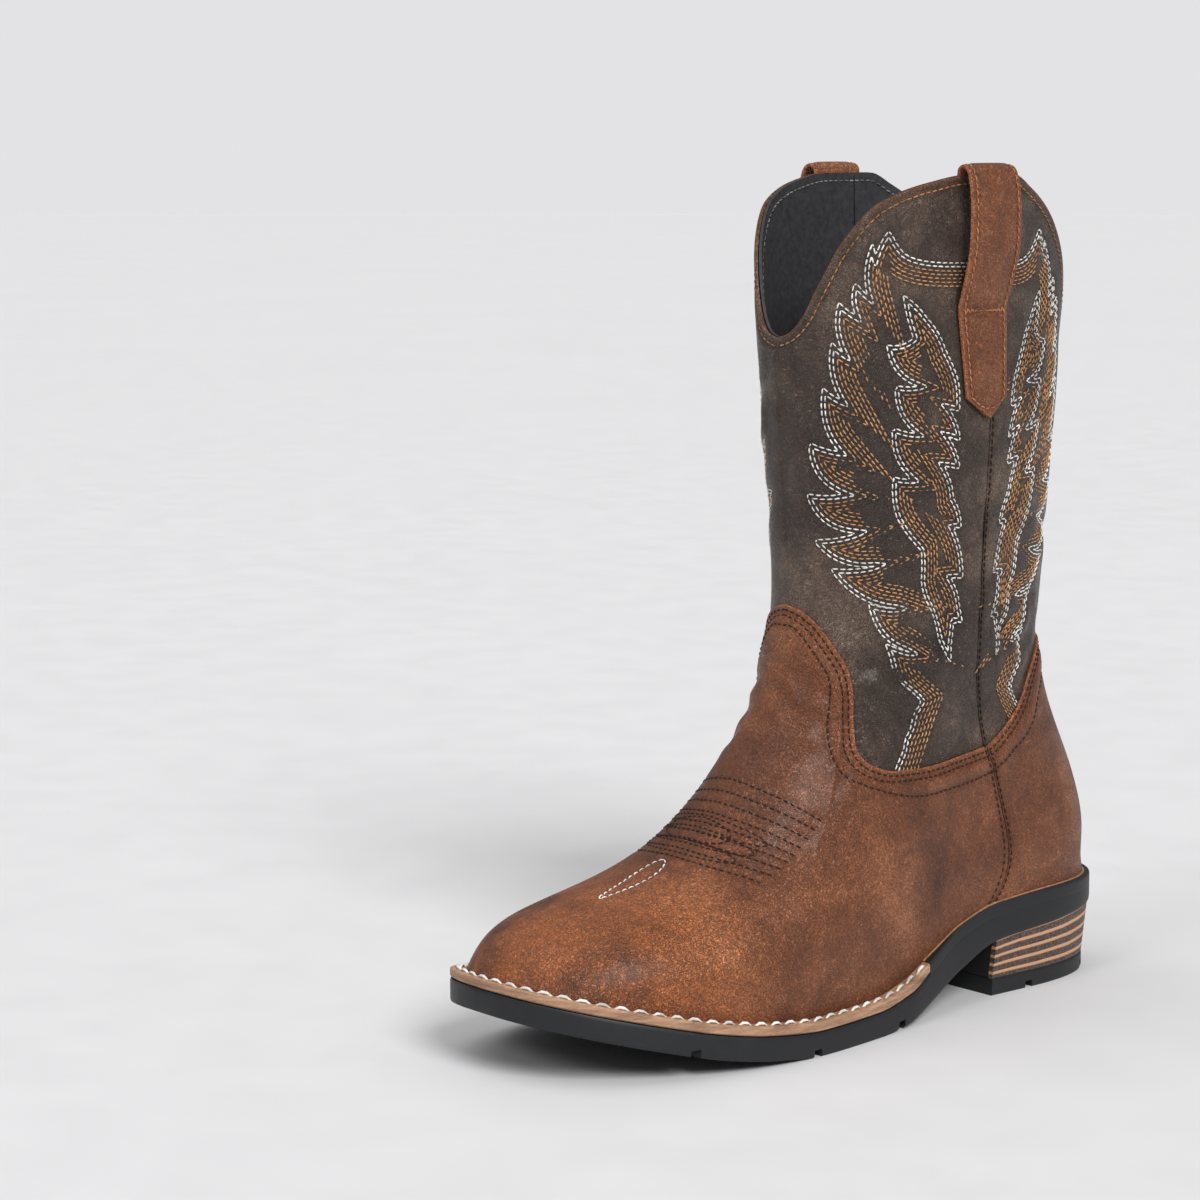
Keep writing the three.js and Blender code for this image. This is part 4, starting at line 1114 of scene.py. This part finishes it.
def build_wear_and_seam_shade(s, at, out):
    """Masks from the distances stored on a piece: painted shade beside sewing, and the raw colour along a cut
    edge.
    """
    # painted shade: the leather darkens beside the sewing, as if shadowed in the pressed stitch grooves
    s.link(s.remap(s.attribute("seam"), 0.2, 2.6, 1.0, 0.0), out["Sewn"])
    ragged = s.times(s.off_middle(s.noise(at, 900.0, 2.0)), 0.5)
    s.link(s.remap(s.plus(s.attribute("edge"), ragged), 0.25, 0.6, 1.0, 0.0), out["Edge"])
    s.link(s.remap(s.attribute("edge"), 1.6, 2.4, 1.0, 0.0), out["Near"])


def build_speckle(s, at, out):
    """Moulded rubber: fine pits and a few rubbed marks."""
    s.link(s.noise(at, 1500.0, 3.0, 0.6), out["Height"])
    s.link(s.remap(s.noise(at, 75.0, 4.0, 0.65, 1.5), 0.5, 0.8), out["Mark"])


def build_layers(s, at, out):
    """Stacked layers on the side of a heel: thin pale lines between dark speckled ones."""
    wobble = s.times(s.off_middle(s.noise(at, 60.0, 3.0)), 0.035)
    turn = s.math("FRACT", s.math("MULTIPLY_ADD", s.plus(s.attribute("share"), wobble), 4.6, 0.32))
    s.link(s.remap(s.math("ABSOLUTE", s.off_middle(turn)), 0.27, 0.4), out["Line"])
    s.link(s.remap(s.noise(at, 1100.0, 4.0, 0.7), 0.38, 0.66), out["Speckle"])


GRAIN_SCALE = 1000.0
GROUPS = {
    "leather_grain": (("Height", "Crease", "Fleck"), build_grain),
    "dye_tone": (("Tone", "Patch"), build_tone),
    "wear_masks": (("Sewn", "Edge", "Near"), build_wear_and_seam_shade),
    "rubber_speckle": (("Height", "Mark"), build_speckle),
    "heel_layers": (("Line", "Speckle"), build_layers),
}


def grouped(s, name):
    """Outputs of a shared group that turns object coordinates into masks and heights."""
    if name not in bpy.data.node_groups:
        tree = bpy.data.node_groups.new(name, "ShaderNodeTree")
        outputs, build = GROUPS[name]
        tree.interface.new_socket("Vector", in_out="INPUT", socket_type="NodeSocketVector")
        for key in outputs:
            tree.interface.new_socket(key, in_out="OUTPUT", socket_type="NodeSocketFloat")
        given = tree.nodes.new("NodeGroupInput").outputs["Vector"]
        build(Shading(tree), given, tree.nodes.new("NodeGroupOutput").inputs)
    return s.add("Group", {"Vector": s.position()}, node_tree=bpy.data.node_groups[name]).outputs


MADE = {}
SOCKETS = {
    "colour": "Base Color", "roughness": "Roughness", "metal": "Metallic", "coat": "Coat Weight",
    "coat_rough": "Coat Roughness", "specular": "Specular IOR Level", "sheen": "Sheen Weight",
}


def material(name, build):
    """A new material. build lays out its nodes and returns colour, roughness, height and more."""
    if name in MADE:
        return MADE[name]
    made = MADE[name] = bpy.data.materials.new(name)
    made.use_nodes = True
    s = Shading(made.node_tree)
    shader = made.node_tree.nodes["Principled BSDF"]
    look = build(s)
    for key, socket in SOCKETS.items():
        if key in look:
            s.link(look[key], shader.inputs[socket])
    relief = {"Height": look["height"], "Distance": look["deep"], "Strength": look.get("strength", 0.6)}
    s.link(s.add("Bump", relief).outputs["Normal"], shader.inputs["Normal"])
    return made


def leather(name, dark, middle, light, raw, rough, coat, streaks, toe=None):
    def build(s):
        grain, tone, wear_and_shade = (grouped(s, group) for group in ("leather_grain", "dye_tone", "wear_masks"))
        colour = s.ramp(tone["Tone"], (0.05, dark), (0.48, middle), (0.95, light))
        if toe:
            x = s.add("SeparateXYZ", {0: s.position()}).outputs["X"]
            forward = s.times(s.remap(x, 0.15, 0.235), s.remap(tone["Tone"], 0.15, 0.75))
            colour = s.mix(s.times(forward, 0.75), colour, toe)
        # the mask beside the sewing mixes toward the dark tone as painted shade in the stitch grooves; the
        # edge masks give the cut edge its raw colour
        for mask, share, over in (
            (grain["Crease"], streaks, light), (grain["Fleck"], 0.3, dark), (wear_and_shade["Sewn"], 0.22, dark),
            (wear_and_shade["Near"], 0.3, raw), (wear_and_shade["Edge"], 0.85, raw),
        ):
            colour = s.mix(s.times(mask, share), colour, over)
        return {
            "colour": colour, "roughness": s.remap(tone["Patch"], 0.0, 1.0, rough + 0.08, rough - 0.05),
            "height": grain["Height"], "strength": 1.0, "deep": 0.0019,
            "coat": coat, "coat_rough": 0.3, "specular": 0.4,
        }

    return material(name, build)


def thread(name, colour, dark):
    def build(s):
        twist = s.noise(s.position(), 2600.0, 2.0, 0.6, 1.5)
        uneven = s.noise(s.position(), 150.0, 2.0)
        return {
            "colour": s.mix(s.remap(s.times(twist, uneven), 0.12, 0.4), dark, colour),
            "roughness": s.remap(twist, 0.2, 0.8, 0.45, 0.75),
            "height": twist, "deep": 0.00012, "specular": 0.25,
        }

    return material(name, build)


def mottled(name, dark, light, size, rough, deep=0.0002, stretch=(1.0, 1.0, 1.0), metal=0.0):
    def build(s):
        at = s.add("Mapping", {"Vector": s.position(), "Scale": stretch}).outputs[0]
        broad = s.noise(at, size, 4.0, 0.6, 0.4)
        fine = s.noise(at, size * 9, 3.0, 0.6)
        blend = s.plus(s.times(broad, 0.6), s.times(fine, 0.4))
        return {
            "colour": s.mix(s.remap(blend, 0.32, 0.68), dark, light),
            "roughness": s.remap(fine, 0.2, 0.8, rough - 0.08, rough + 0.08),
            "height": fine, "deep": deep, "metal": metal,
        }

    return material(name, build)


def woven(name, dark, light, count):
    """A plain weave, threads to the metre."""
    def build(s):
        wave = {"Vector": s.position(), "Scale": count, "Distortion": 0.6, "Detail": 1.0}
        weave = s.times(*(s.add("TexWave", wave, bands_direction=axis).outputs["Fac"] for axis in "XZ"))
        return {
            "colour": s.mix(weave, dark, light), "roughness": s.remap(weave, 0.0, 1.0, 0.95, 0.8),
            "height": weave, "deep": 0.0002, "sheen": 0.2,
        }

    return material(name, build)


def rubber(name, dark, light, rough):
    def build(s):
        speckle = grouped(s, "rubber_speckle")
        return {
            "colour": s.mix(s.times(speckle["Mark"], 0.5), dark, light),
            "roughness": s.remap(speckle["Mark"], 0.0, 1.0, rough, rough + 0.15),
            "height": speckle["Height"], "deep": 0.00008, "specular": 0.35,
        }

    return material(name, build)


def stack(name, dark, brown, pale):
    def build(s):
        layers = grouped(s, "heel_layers")
        ground = s.mix(s.times(layers["Speckle"], 0.75), dark, brown)
        return {
            "colour": s.mix(layers["Line"], ground, pale),
            "roughness": s.remap(layers["Speckle"], 0.0, 1.0, 0.6, 0.48),
            "height": s.plus(layers["Line"], s.times(layers["Speckle"], 0.4)), "deep": 0.0002,
        }

    return material(name, build)


# ---------------------------------------------------------------------------------------------
# Settings.


def colour_setting(name, about, red, green, blue):
    return FloatVectorProperty(
        name=name, description=about, subtype="COLOR", size=3, min=0, max=1, default=shade(red, green, blue)
    )


def length_setting(name, about, millimetres):
    return FloatProperty(
        name=name, description=about, subtype="DISTANCE", unit="LENGTH", precision=5, min=0.0001,
        default=millimetres * MM,
    )


class BootSizes(bpy.types.PropertyGroup):
    stitch: length_setting("Stitch", "Length of a stitch on the upper", 2.9)
    thread: length_setting("Thread", "Radius of the sewing thread", 0.31)
    welt_stitch: length_setting("Welt stitch", "Length of a stitch on the welt", 7.4)
    welt_thread: length_setting("Welt thread", "Radius of the welt's thread", 0.72)


class BootColours(bpy.types.PropertyGroup):
    brown: colour_setting("Brown leather", "Vamp, heel foxing and pull straps", 130, 75, 45)
    brown_dark: colour_setting("Brown leather, dark", "Dark clouds of the brown leather", 76, 40, 25)
    brown_light: colour_setting("Brown leather, light", "Rubbed places of the brown leather", 184, 118, 78)
    toe: colour_setting("Toe", "The warmer tan over the toe", 184, 102, 48)
    shaft: colour_setting("Shaft leather", "Leather of the shaft", 70, 55, 47)
    shaft_dark: colour_setting("Shaft leather, dark", "Dark clouds of the shaft", 29, 22, 19)
    shaft_light: colour_setting("Shaft leather, light", "Rubbed places of the shaft", 136, 114, 98)
    white: colour_setting("White thread", "Outer rows of the shaft's pattern", 246, 243, 236)
    tan: colour_setting("Tan thread", "Inner rows of the shaft's pattern", 198, 148, 102)
    dark_thread: colour_setting("Dark thread", "Rows on the vamp and its seams", 46, 25, 17)
    rust: colour_setting("Rust thread", "Rows of the topline and the pull straps", 184, 126, 86)


def sizes():
    return bpy.context.scene.boot_sizes


def colours():
    return bpy.context.scene.boot_colours


def picked(name):
    return tuple(getattr(colours(), name))


def shaft_leather():
    tones = picked("shaft_dark"), picked("shaft"), picked("shaft_light")
    return leather("dark_leather", *tones, shade(112, 74, 50), 0.38, 0.12, 0.55)


def brown_leather():
    tones = picked("brown_dark"), picked("brown"), picked("brown_light")
    return leather("brown_leather", *tones, shade(172, 104, 66), 0.43, 0.1, 0.5, picked("toe"))


def lining_leather():
    return mottled("lining_leather", shade(24, 24, 26), shade(52, 51, 54), 400.0, 0.72, 0.00015)


def coloured_thread(name):
    colour = picked(name)
    return thread(name + "_thread", colour, tuple(part * 0.45 for part in colour))


def sew_upper(name, rows, material, slot, group=None):
    sew(name, rows, material, slot, sizes().stitch / MM, sizes().thread / MM, group)


# ---------------------------------------------------------------------------------------------
# Operators.


class BOOT_OT_embroidery(bpy.types.Operator):
    """Sews the white and tan pattern of the shaft"""

    bl_idname = "boot.embroidery"
    bl_label = "Shaft pattern"

    def execute(self, context):
        rows = embroidery()
        for side, where in ((1, "outer"), (-1, "inner")):
            for colour, lines in rows.items():
                laid, look = [laid_on_shaft(line, side) for line in lines], coloured_thread(colour)
                sew_upper(f"pattern_{colour}_{where}", laid, look, "shaft_leather", "shaft")
        return {"FINISHED"}


class BOOT_OT_shaft_stitching(bpy.types.Operator):
    """Sews the topline and the side seams of the shaft"""

    bl_idname = "boot.shaft_stitching"
    bl_label = "Topline and side seams"

    def execute(self, context):
        rust, dark, inside = [], [], []

        def outside(girth, level):
            z = surface(girth, level)[:, 2]
            return off_surface(girth, level, shaft_outside(girth, z) - PRESS), outward(girth, level)

        for side in (-1, 1):
            for line in chart_rows(topline, (3.4,), 2):
                girth, level = side * line[:, 0], level_at(side * line[:, 0], line[:, 1])
                rust.append(outside(girth, level))
                within = off_surface(girth, level, np.full(len(girth), LINING_FACES[1] + 0.05))
                inside.append((within, -outward(girth, level)))
            girth = np.full(300, side * 1.016)
            dark.append(outside(girth, level_at(girth, np.linspace(322, 104, 300))))
        sew_upper("topline_stitches", rust, coloured_thread("rust"), "shaft_leather", "shaft")
        sew_upper("side_seam_stitches", dark, coloured_thread("dark_thread"), "shaft_leather", "shaft")
        grey = thread("lining_thread", shade(150, 148, 146), shade(70, 69, 68))
        sew_upper("lining_stitches", inside, grey, "lining")
        return {"FINISHED"}


class BOOT_OT_shaft(bpy.types.Operator):
    """Builds the front and back panels of the shaft"""

    bl_idname = "boot.shaft"
    bl_label = "Shaft"

    def execute(self, context):
        shaft_piece("shaft_front", FRONT_HALF, 210, shaft_leather())
        shaft_piece("shaft_back", BACK_HALF, 170, shaft_leather())
        return {"FINISHED"}


class BOOT_OT_linings(bpy.types.Operator):
    """Builds the linings of the shaft and foot, and the footbed"""

    bl_idname = "boot.linings"
    bl_label = "Linings and footbed"

    def execute(self, context):
        look = lining_leather()

        def join(girth):
            return level_at(girth, vamp_edge(fold(girth)) - LINING_JOIN)

        def top(girth):
            return level_at(girth, topline(fold(girth)) - 0.15)

        for where, girths in (("front", FRONT_HALF), ("back", BACK_HALF)):
            lining_piece(f"shaft_lining_{where}", girths, join, top, look)
        for name, girths in (("vamp_lining", FRONT_HALF), ("heel_lining", BACK_HALF)):
            lining_piece(name, girths, lining_start, join, look)
        foam = mottled("footbed_foam", shade(40, 40, 42), shade(62, 62, 64), 700.0, 0.9, 0.0003)
        for name, inward, low, high, look, slot, crown in (
            ("footbed", 8.5, 1.25, 5.25, foam, "foam", 0.9),
            ("footbed_cover", 10.5, 5.55, 6.35, look, "lining", 0.3),
        ):
            faces = level_line(-inward), beside(feather, low), beside(feather, high)
            piece = finish(sole_block(name, *faces, columns=160, crown=crown), look, slot, name)
        return {"FINISHED"}


class BOOT_OT_foot_stitching(bpy.types.Operator):
    """Sews the rows of the vamp and foxing, the fan over the toes and its pointed drop"""

    bl_idname = "boot.foot_stitching"
    bl_label = "Foot stitching"

    def execute(self, context):
        dark, white = coloured_thread("dark_thread"), coloured_thread("white")
        sew_upper("foot_stitches", foot_rows(), dark, "foot_leather", "foot")
        sew_upper("toe_fan_stitches", fan_rows(), dark, "foot_leather", "foot")
        sew_upper("toe_drop_stitches", [drop_row()], white, "foot_leather", "foot")
        return {"FINISHED"}


class BOOT_OT_foot(bpy.types.Operator):
    """Builds the vamp and the heel foxing"""

    bl_idname = "boot.foot"
    bl_label = "Vamp and foxing"

    def execute(self, context):
        foot_piece("vamp", FRONT_HALF, 300, brown_leather())
        foot_piece("heel_foxing", BACK_HALF, 220, brown_leather())
        return {"FINISHED"}


class BOOT_OT_straps(bpy.types.Operator):
    """Builds and sews the two pull straps"""

    bl_idname = "boot.straps"
    bl_label = "Pull straps"

    def execute(self, context):
        rust = coloured_thread("rust")
        for side, where in ((1, "outer"), (-1, "inner")):
            sew_upper(f"strap_stitches_{where}", strap_rows(side), rust, "foot_leather", "strap")
        for side, where in ((1, "outer"), (-1, "inner")):
            strap_piece(f"pull_strap_{where}", side, brown_leather())
        return {"FINISHED"}


class BOOT_OT_sole(bpy.types.Operator):
    """Builds the outsole, its raised rim and the heel's lift"""

    bl_idname = "boot.sole"
    bl_label = "Outsole and lift"

    def execute(self, context):
        black = rubber("black_rubber", shade(27, 28, 30), shade(44, 44, 46), 0.5)
        sole = sole_block("outsole", sole_edge, tread_height, sole_top, crown=0.5, grooves=SOLE_GROOVES)
        finish(sole, black, "sole_rubber", "outsole")
        rim = sole_edge, beside(sole_top, -2), feather, WELT_END, False
        finish(edge_strip("outsole_rim", level_line(SEAT), *rim, crown=0.25), black, "sole_rubber")
        faces = beside(sole_edge, -2.9), level_line(0), level_line(HEEL_LIFT)
        lift = sole_block("heel_lift", *faces, HEEL_BREAST, 120, 0.4, LIFT_GROOVES)
        finish(lift, black, "sole_rubber", "heel_lift")
        tan = mottled("rand_leather", shade(110, 74, 48), shade(190, 140, 98), 800.0, 0.7)
        faces = level_line(1.6), level_line(2.75), beside(feather, -0.6), beside(feather, 0.35)
        finish(edge_strip("seat_rand", *faces, WELT_END, False, crown=0.15), tan, "welt")
        return {"FINISHED"}


class BOOT_OT_welt(bpy.types.Operator):
    """Builds and sews the welt"""

    bl_idname = "boot.welt"
    bl_label = "Welt"

    def execute(self, context):
        tones = shade(122, 90, 68), shade(182, 142, 112)
        look = mottled("welt_leather", *tones, 60.0, 0.62, 0.00025, (1.0, 1.0, 9.0))
        faces = level_line(SEAT), sole_edge, beside(sole_top, 0.3), feather
        finish(edge_strip("welt", *faces, WELT_END + 0.3, crown=0.45), look, "welt", "welt")
        cord, pitch, radius = coloured_thread("white"), sizes().welt_stitch / MM, sizes().welt_thread / MM
        sew("welt_stitches", [welt_row()], cord, "welt", pitch, radius, swing=0.5)
        return {"FINISHED"}


class BOOT_OT_heel(bpy.types.Operator):
    """Builds the stacked band round the heel"""

    bl_idname = "boot.heel"
    bl_label = "Heel stack"

    def execute(self, context):
        look = stack("stacked_leather", shade(42, 40, 40), shade(116, 88, 70), shade(200, 152, 116))
        faces = beside(sole_edge, -3.1), beside(sole_edge, -0.7)
        heights = level_line(HEEL_LIFT + 0.1), beside(tread_height, -0.1)
        shape = {"count": 220, "crown": 0.12, "draw": 2.2, "ribs": 9, "deep": 54}
        band = edge_strip("heel_stack", *faces, *heights, HEEL_BREAST, False, **shape)
        finish(band, look, "heel_stack", "heel_stack")
        return {"FINISHED"}


HIDDEN_LOOKS = {
    "toe_puff": "board", "heel_counter": "board", "insole_board": "board", "vamp_backing": "cloth",
    "bottom_filler": "cork", "shank": "steel", "heel_block": "plastic", "heel_nail_1": "steel",
    "heel_nail_2": "steel", "heel_nail_3": "steel", "heel_nail_4": "steel", "heel_screw": "steel",
}


class BOOT_OT_hidden_parts(bpy.types.Operator):
    """Gives the stiffeners, insole, shank, heel block and nails their materials"""

    bl_idname = "boot.hidden_parts"
    bl_label = "Hidden parts"

    def execute(self, context):
        steel = shade(150, 152, 155), shade(205, 207, 210)
        looks = {
            "board": mottled("pressed_board", shade(140, 112, 78), shade(188, 160, 120), 250.0, 0.9),
            "cloth": woven("plain_cloth", shade(170, 165, 150), shade(232, 228, 215), 180.0),
            "cork": mottled("cork_filler", shade(110, 76, 46), shade(190, 145, 96), 350.0, 0.9, 0.0004),
            "steel": mottled("drawn_steel", *steel, 300.0, 0.35, 0.00005, (1.0, 14.0, 1.0), 1.0),
            "plastic": rubber("block_plastic", shade(30, 30, 32), shade(50, 50, 52), 0.6),
        }
        for name, look in HIDDEN_LOOKS.items():
            slots = bpy.data.objects[name].data.materials
            slots.clear()
            slots.append(looks[look])
        return {"FINISHED"}


SUNS = (  # name, where it shines from, its width in degrees, its power
    ("side", (0.25, 1.0, 0.9), 28, 2.75),
    ("above", (0.5, -0.4, 1.6), 50, 0.7),
    ("front", (1.0, 0.15, 0.7), 14, 0.5),
)
SKY = ((0.0, (0.16, 0.16, 0.17)), (0.3, (0.2, 0.2, 0.21)), (1.0, (0.62, 0.62, 0.62)))
CAMERA_PLACE = (1.0151, 0.9582, 0.3437)
CAMERA_AIM = (-0.63428, -0.76115, -0.13532)
CAMERA_LENS = 102


def sunlight(name, from_where, spread_degrees, power):
    light = bpy.data.lights.new(name, "SUN")
    light.angle = math.radians(spread_degrees)
    light.energy = power
    lamp = bpy.data.objects.new(name, light)
    lamp.rotation_euler = Vector(from_where).to_track_quat("Z", "Y").to_euler()
    bpy.context.scene.collection.objects.link(lamp)


class BOOT_OT_stage(bpy.types.Operator):
    """Adds the pale floor, the soft lights and the camera"""

    bl_idname = "boot.stage"
    bl_label = "Stage"

    def execute(self, context):
        scene = context.scene
        bm = bmesh.new()
        bmesh.ops.create_circle(bm, cap_ends=True, segments=96, radius=14)
        mesh = bpy.data.meshes.new("floor")
        bm.to_mesh(mesh)
        bm.free()
        floor = bpy.data.objects.new("floor", mesh)
        scene.collection.objects.link(floor)
        pale = mottled("pale_floor", shade(209, 209, 210), shade(211, 211, 212), 3.0, 0.6, 0.00001)
        mesh.materials.append(pale)

        world = bpy.data.worlds.new("studio")
        scene.world = world
        world.use_nodes = True
        s = Shading(world.node_tree)
        air = world.node_tree.nodes["Background"]
        up = s.add("SeparateXYZ", {0: s.add("TexCoord").outputs["Generated"]}).outputs["Z"]
        sky = s.ramp(s.remap(up, -0.1, 1.0, smooth=False), *SKY)
        seen = s.add("LightPath").outputs["Is Camera Ray"]
        s.link(s.mix(seen, sky, shade(227, 227, 229)), air.inputs["Color"])
        air.inputs["Strength"].default_value = 1.0

        for sun in SUNS:
            sunlight(*sun)

        camera = bpy.data.cameras.new("camera")
        camera.sensor_width = 36
        camera.lens = CAMERA_LENS
        view = bpy.data.objects.new("camera", camera)
        view.location = CAMERA_PLACE
        view.rotation_euler = Vector(CAMERA_AIM).to_track_quat("-Z", "Y").to_euler()
        scene.collection.objects.link(view)
        scene.camera = view
        scene.view_settings.view_transform = "Standard"
        return {"FINISHED"}


OPERATORS = (
    BOOT_OT_embroidery, BOOT_OT_shaft_stitching, BOOT_OT_shaft, BOOT_OT_linings, BOOT_OT_foot_stitching,
    BOOT_OT_foot, BOOT_OT_straps, BOOT_OT_sole, BOOT_OT_welt, BOOT_OT_heel, BOOT_OT_hidden_parts,
    BOOT_OT_stage,
)


class BOOT_PT_sidebar(bpy.types.Panel):
    bl_idname = "BOOT_PT_sidebar"
    bl_label = "Western Boot"
    bl_space_type = "VIEW_3D"
    bl_region_type = "UI"
    bl_category = "Boot"

    def draw(self, context):
        for settings in (context.scene.boot_sizes, context.scene.boot_colours):
            for key in settings.__annotations__:
                self.layout.prop(settings, key)
        for operator in OPERATORS:
            self.layout.operator(operator.bl_idname)


CLASSES = (BootSizes, BootColours, *OPERATORS, BOOT_PT_sidebar)


def register():
    for one in CLASSES:
        bpy.utils.register_class(one)
    bpy.types.Scene.boot_sizes = PointerProperty(type=BootSizes)
    bpy.types.Scene.boot_colours = PointerProperty(type=BootColours)


def unregister():
    del bpy.types.Scene.boot_colours
    del bpy.types.Scene.boot_sizes
    for one in reversed(CLASSES):
        bpy.utils.unregister_class(one)


def main():
    register()
    for operator in OPERATORS:
        family, name = operator.bl_idname.split(".")
        getattr(getattr(bpy.ops, family), name)()


if __name__ == "__main__":
    main()
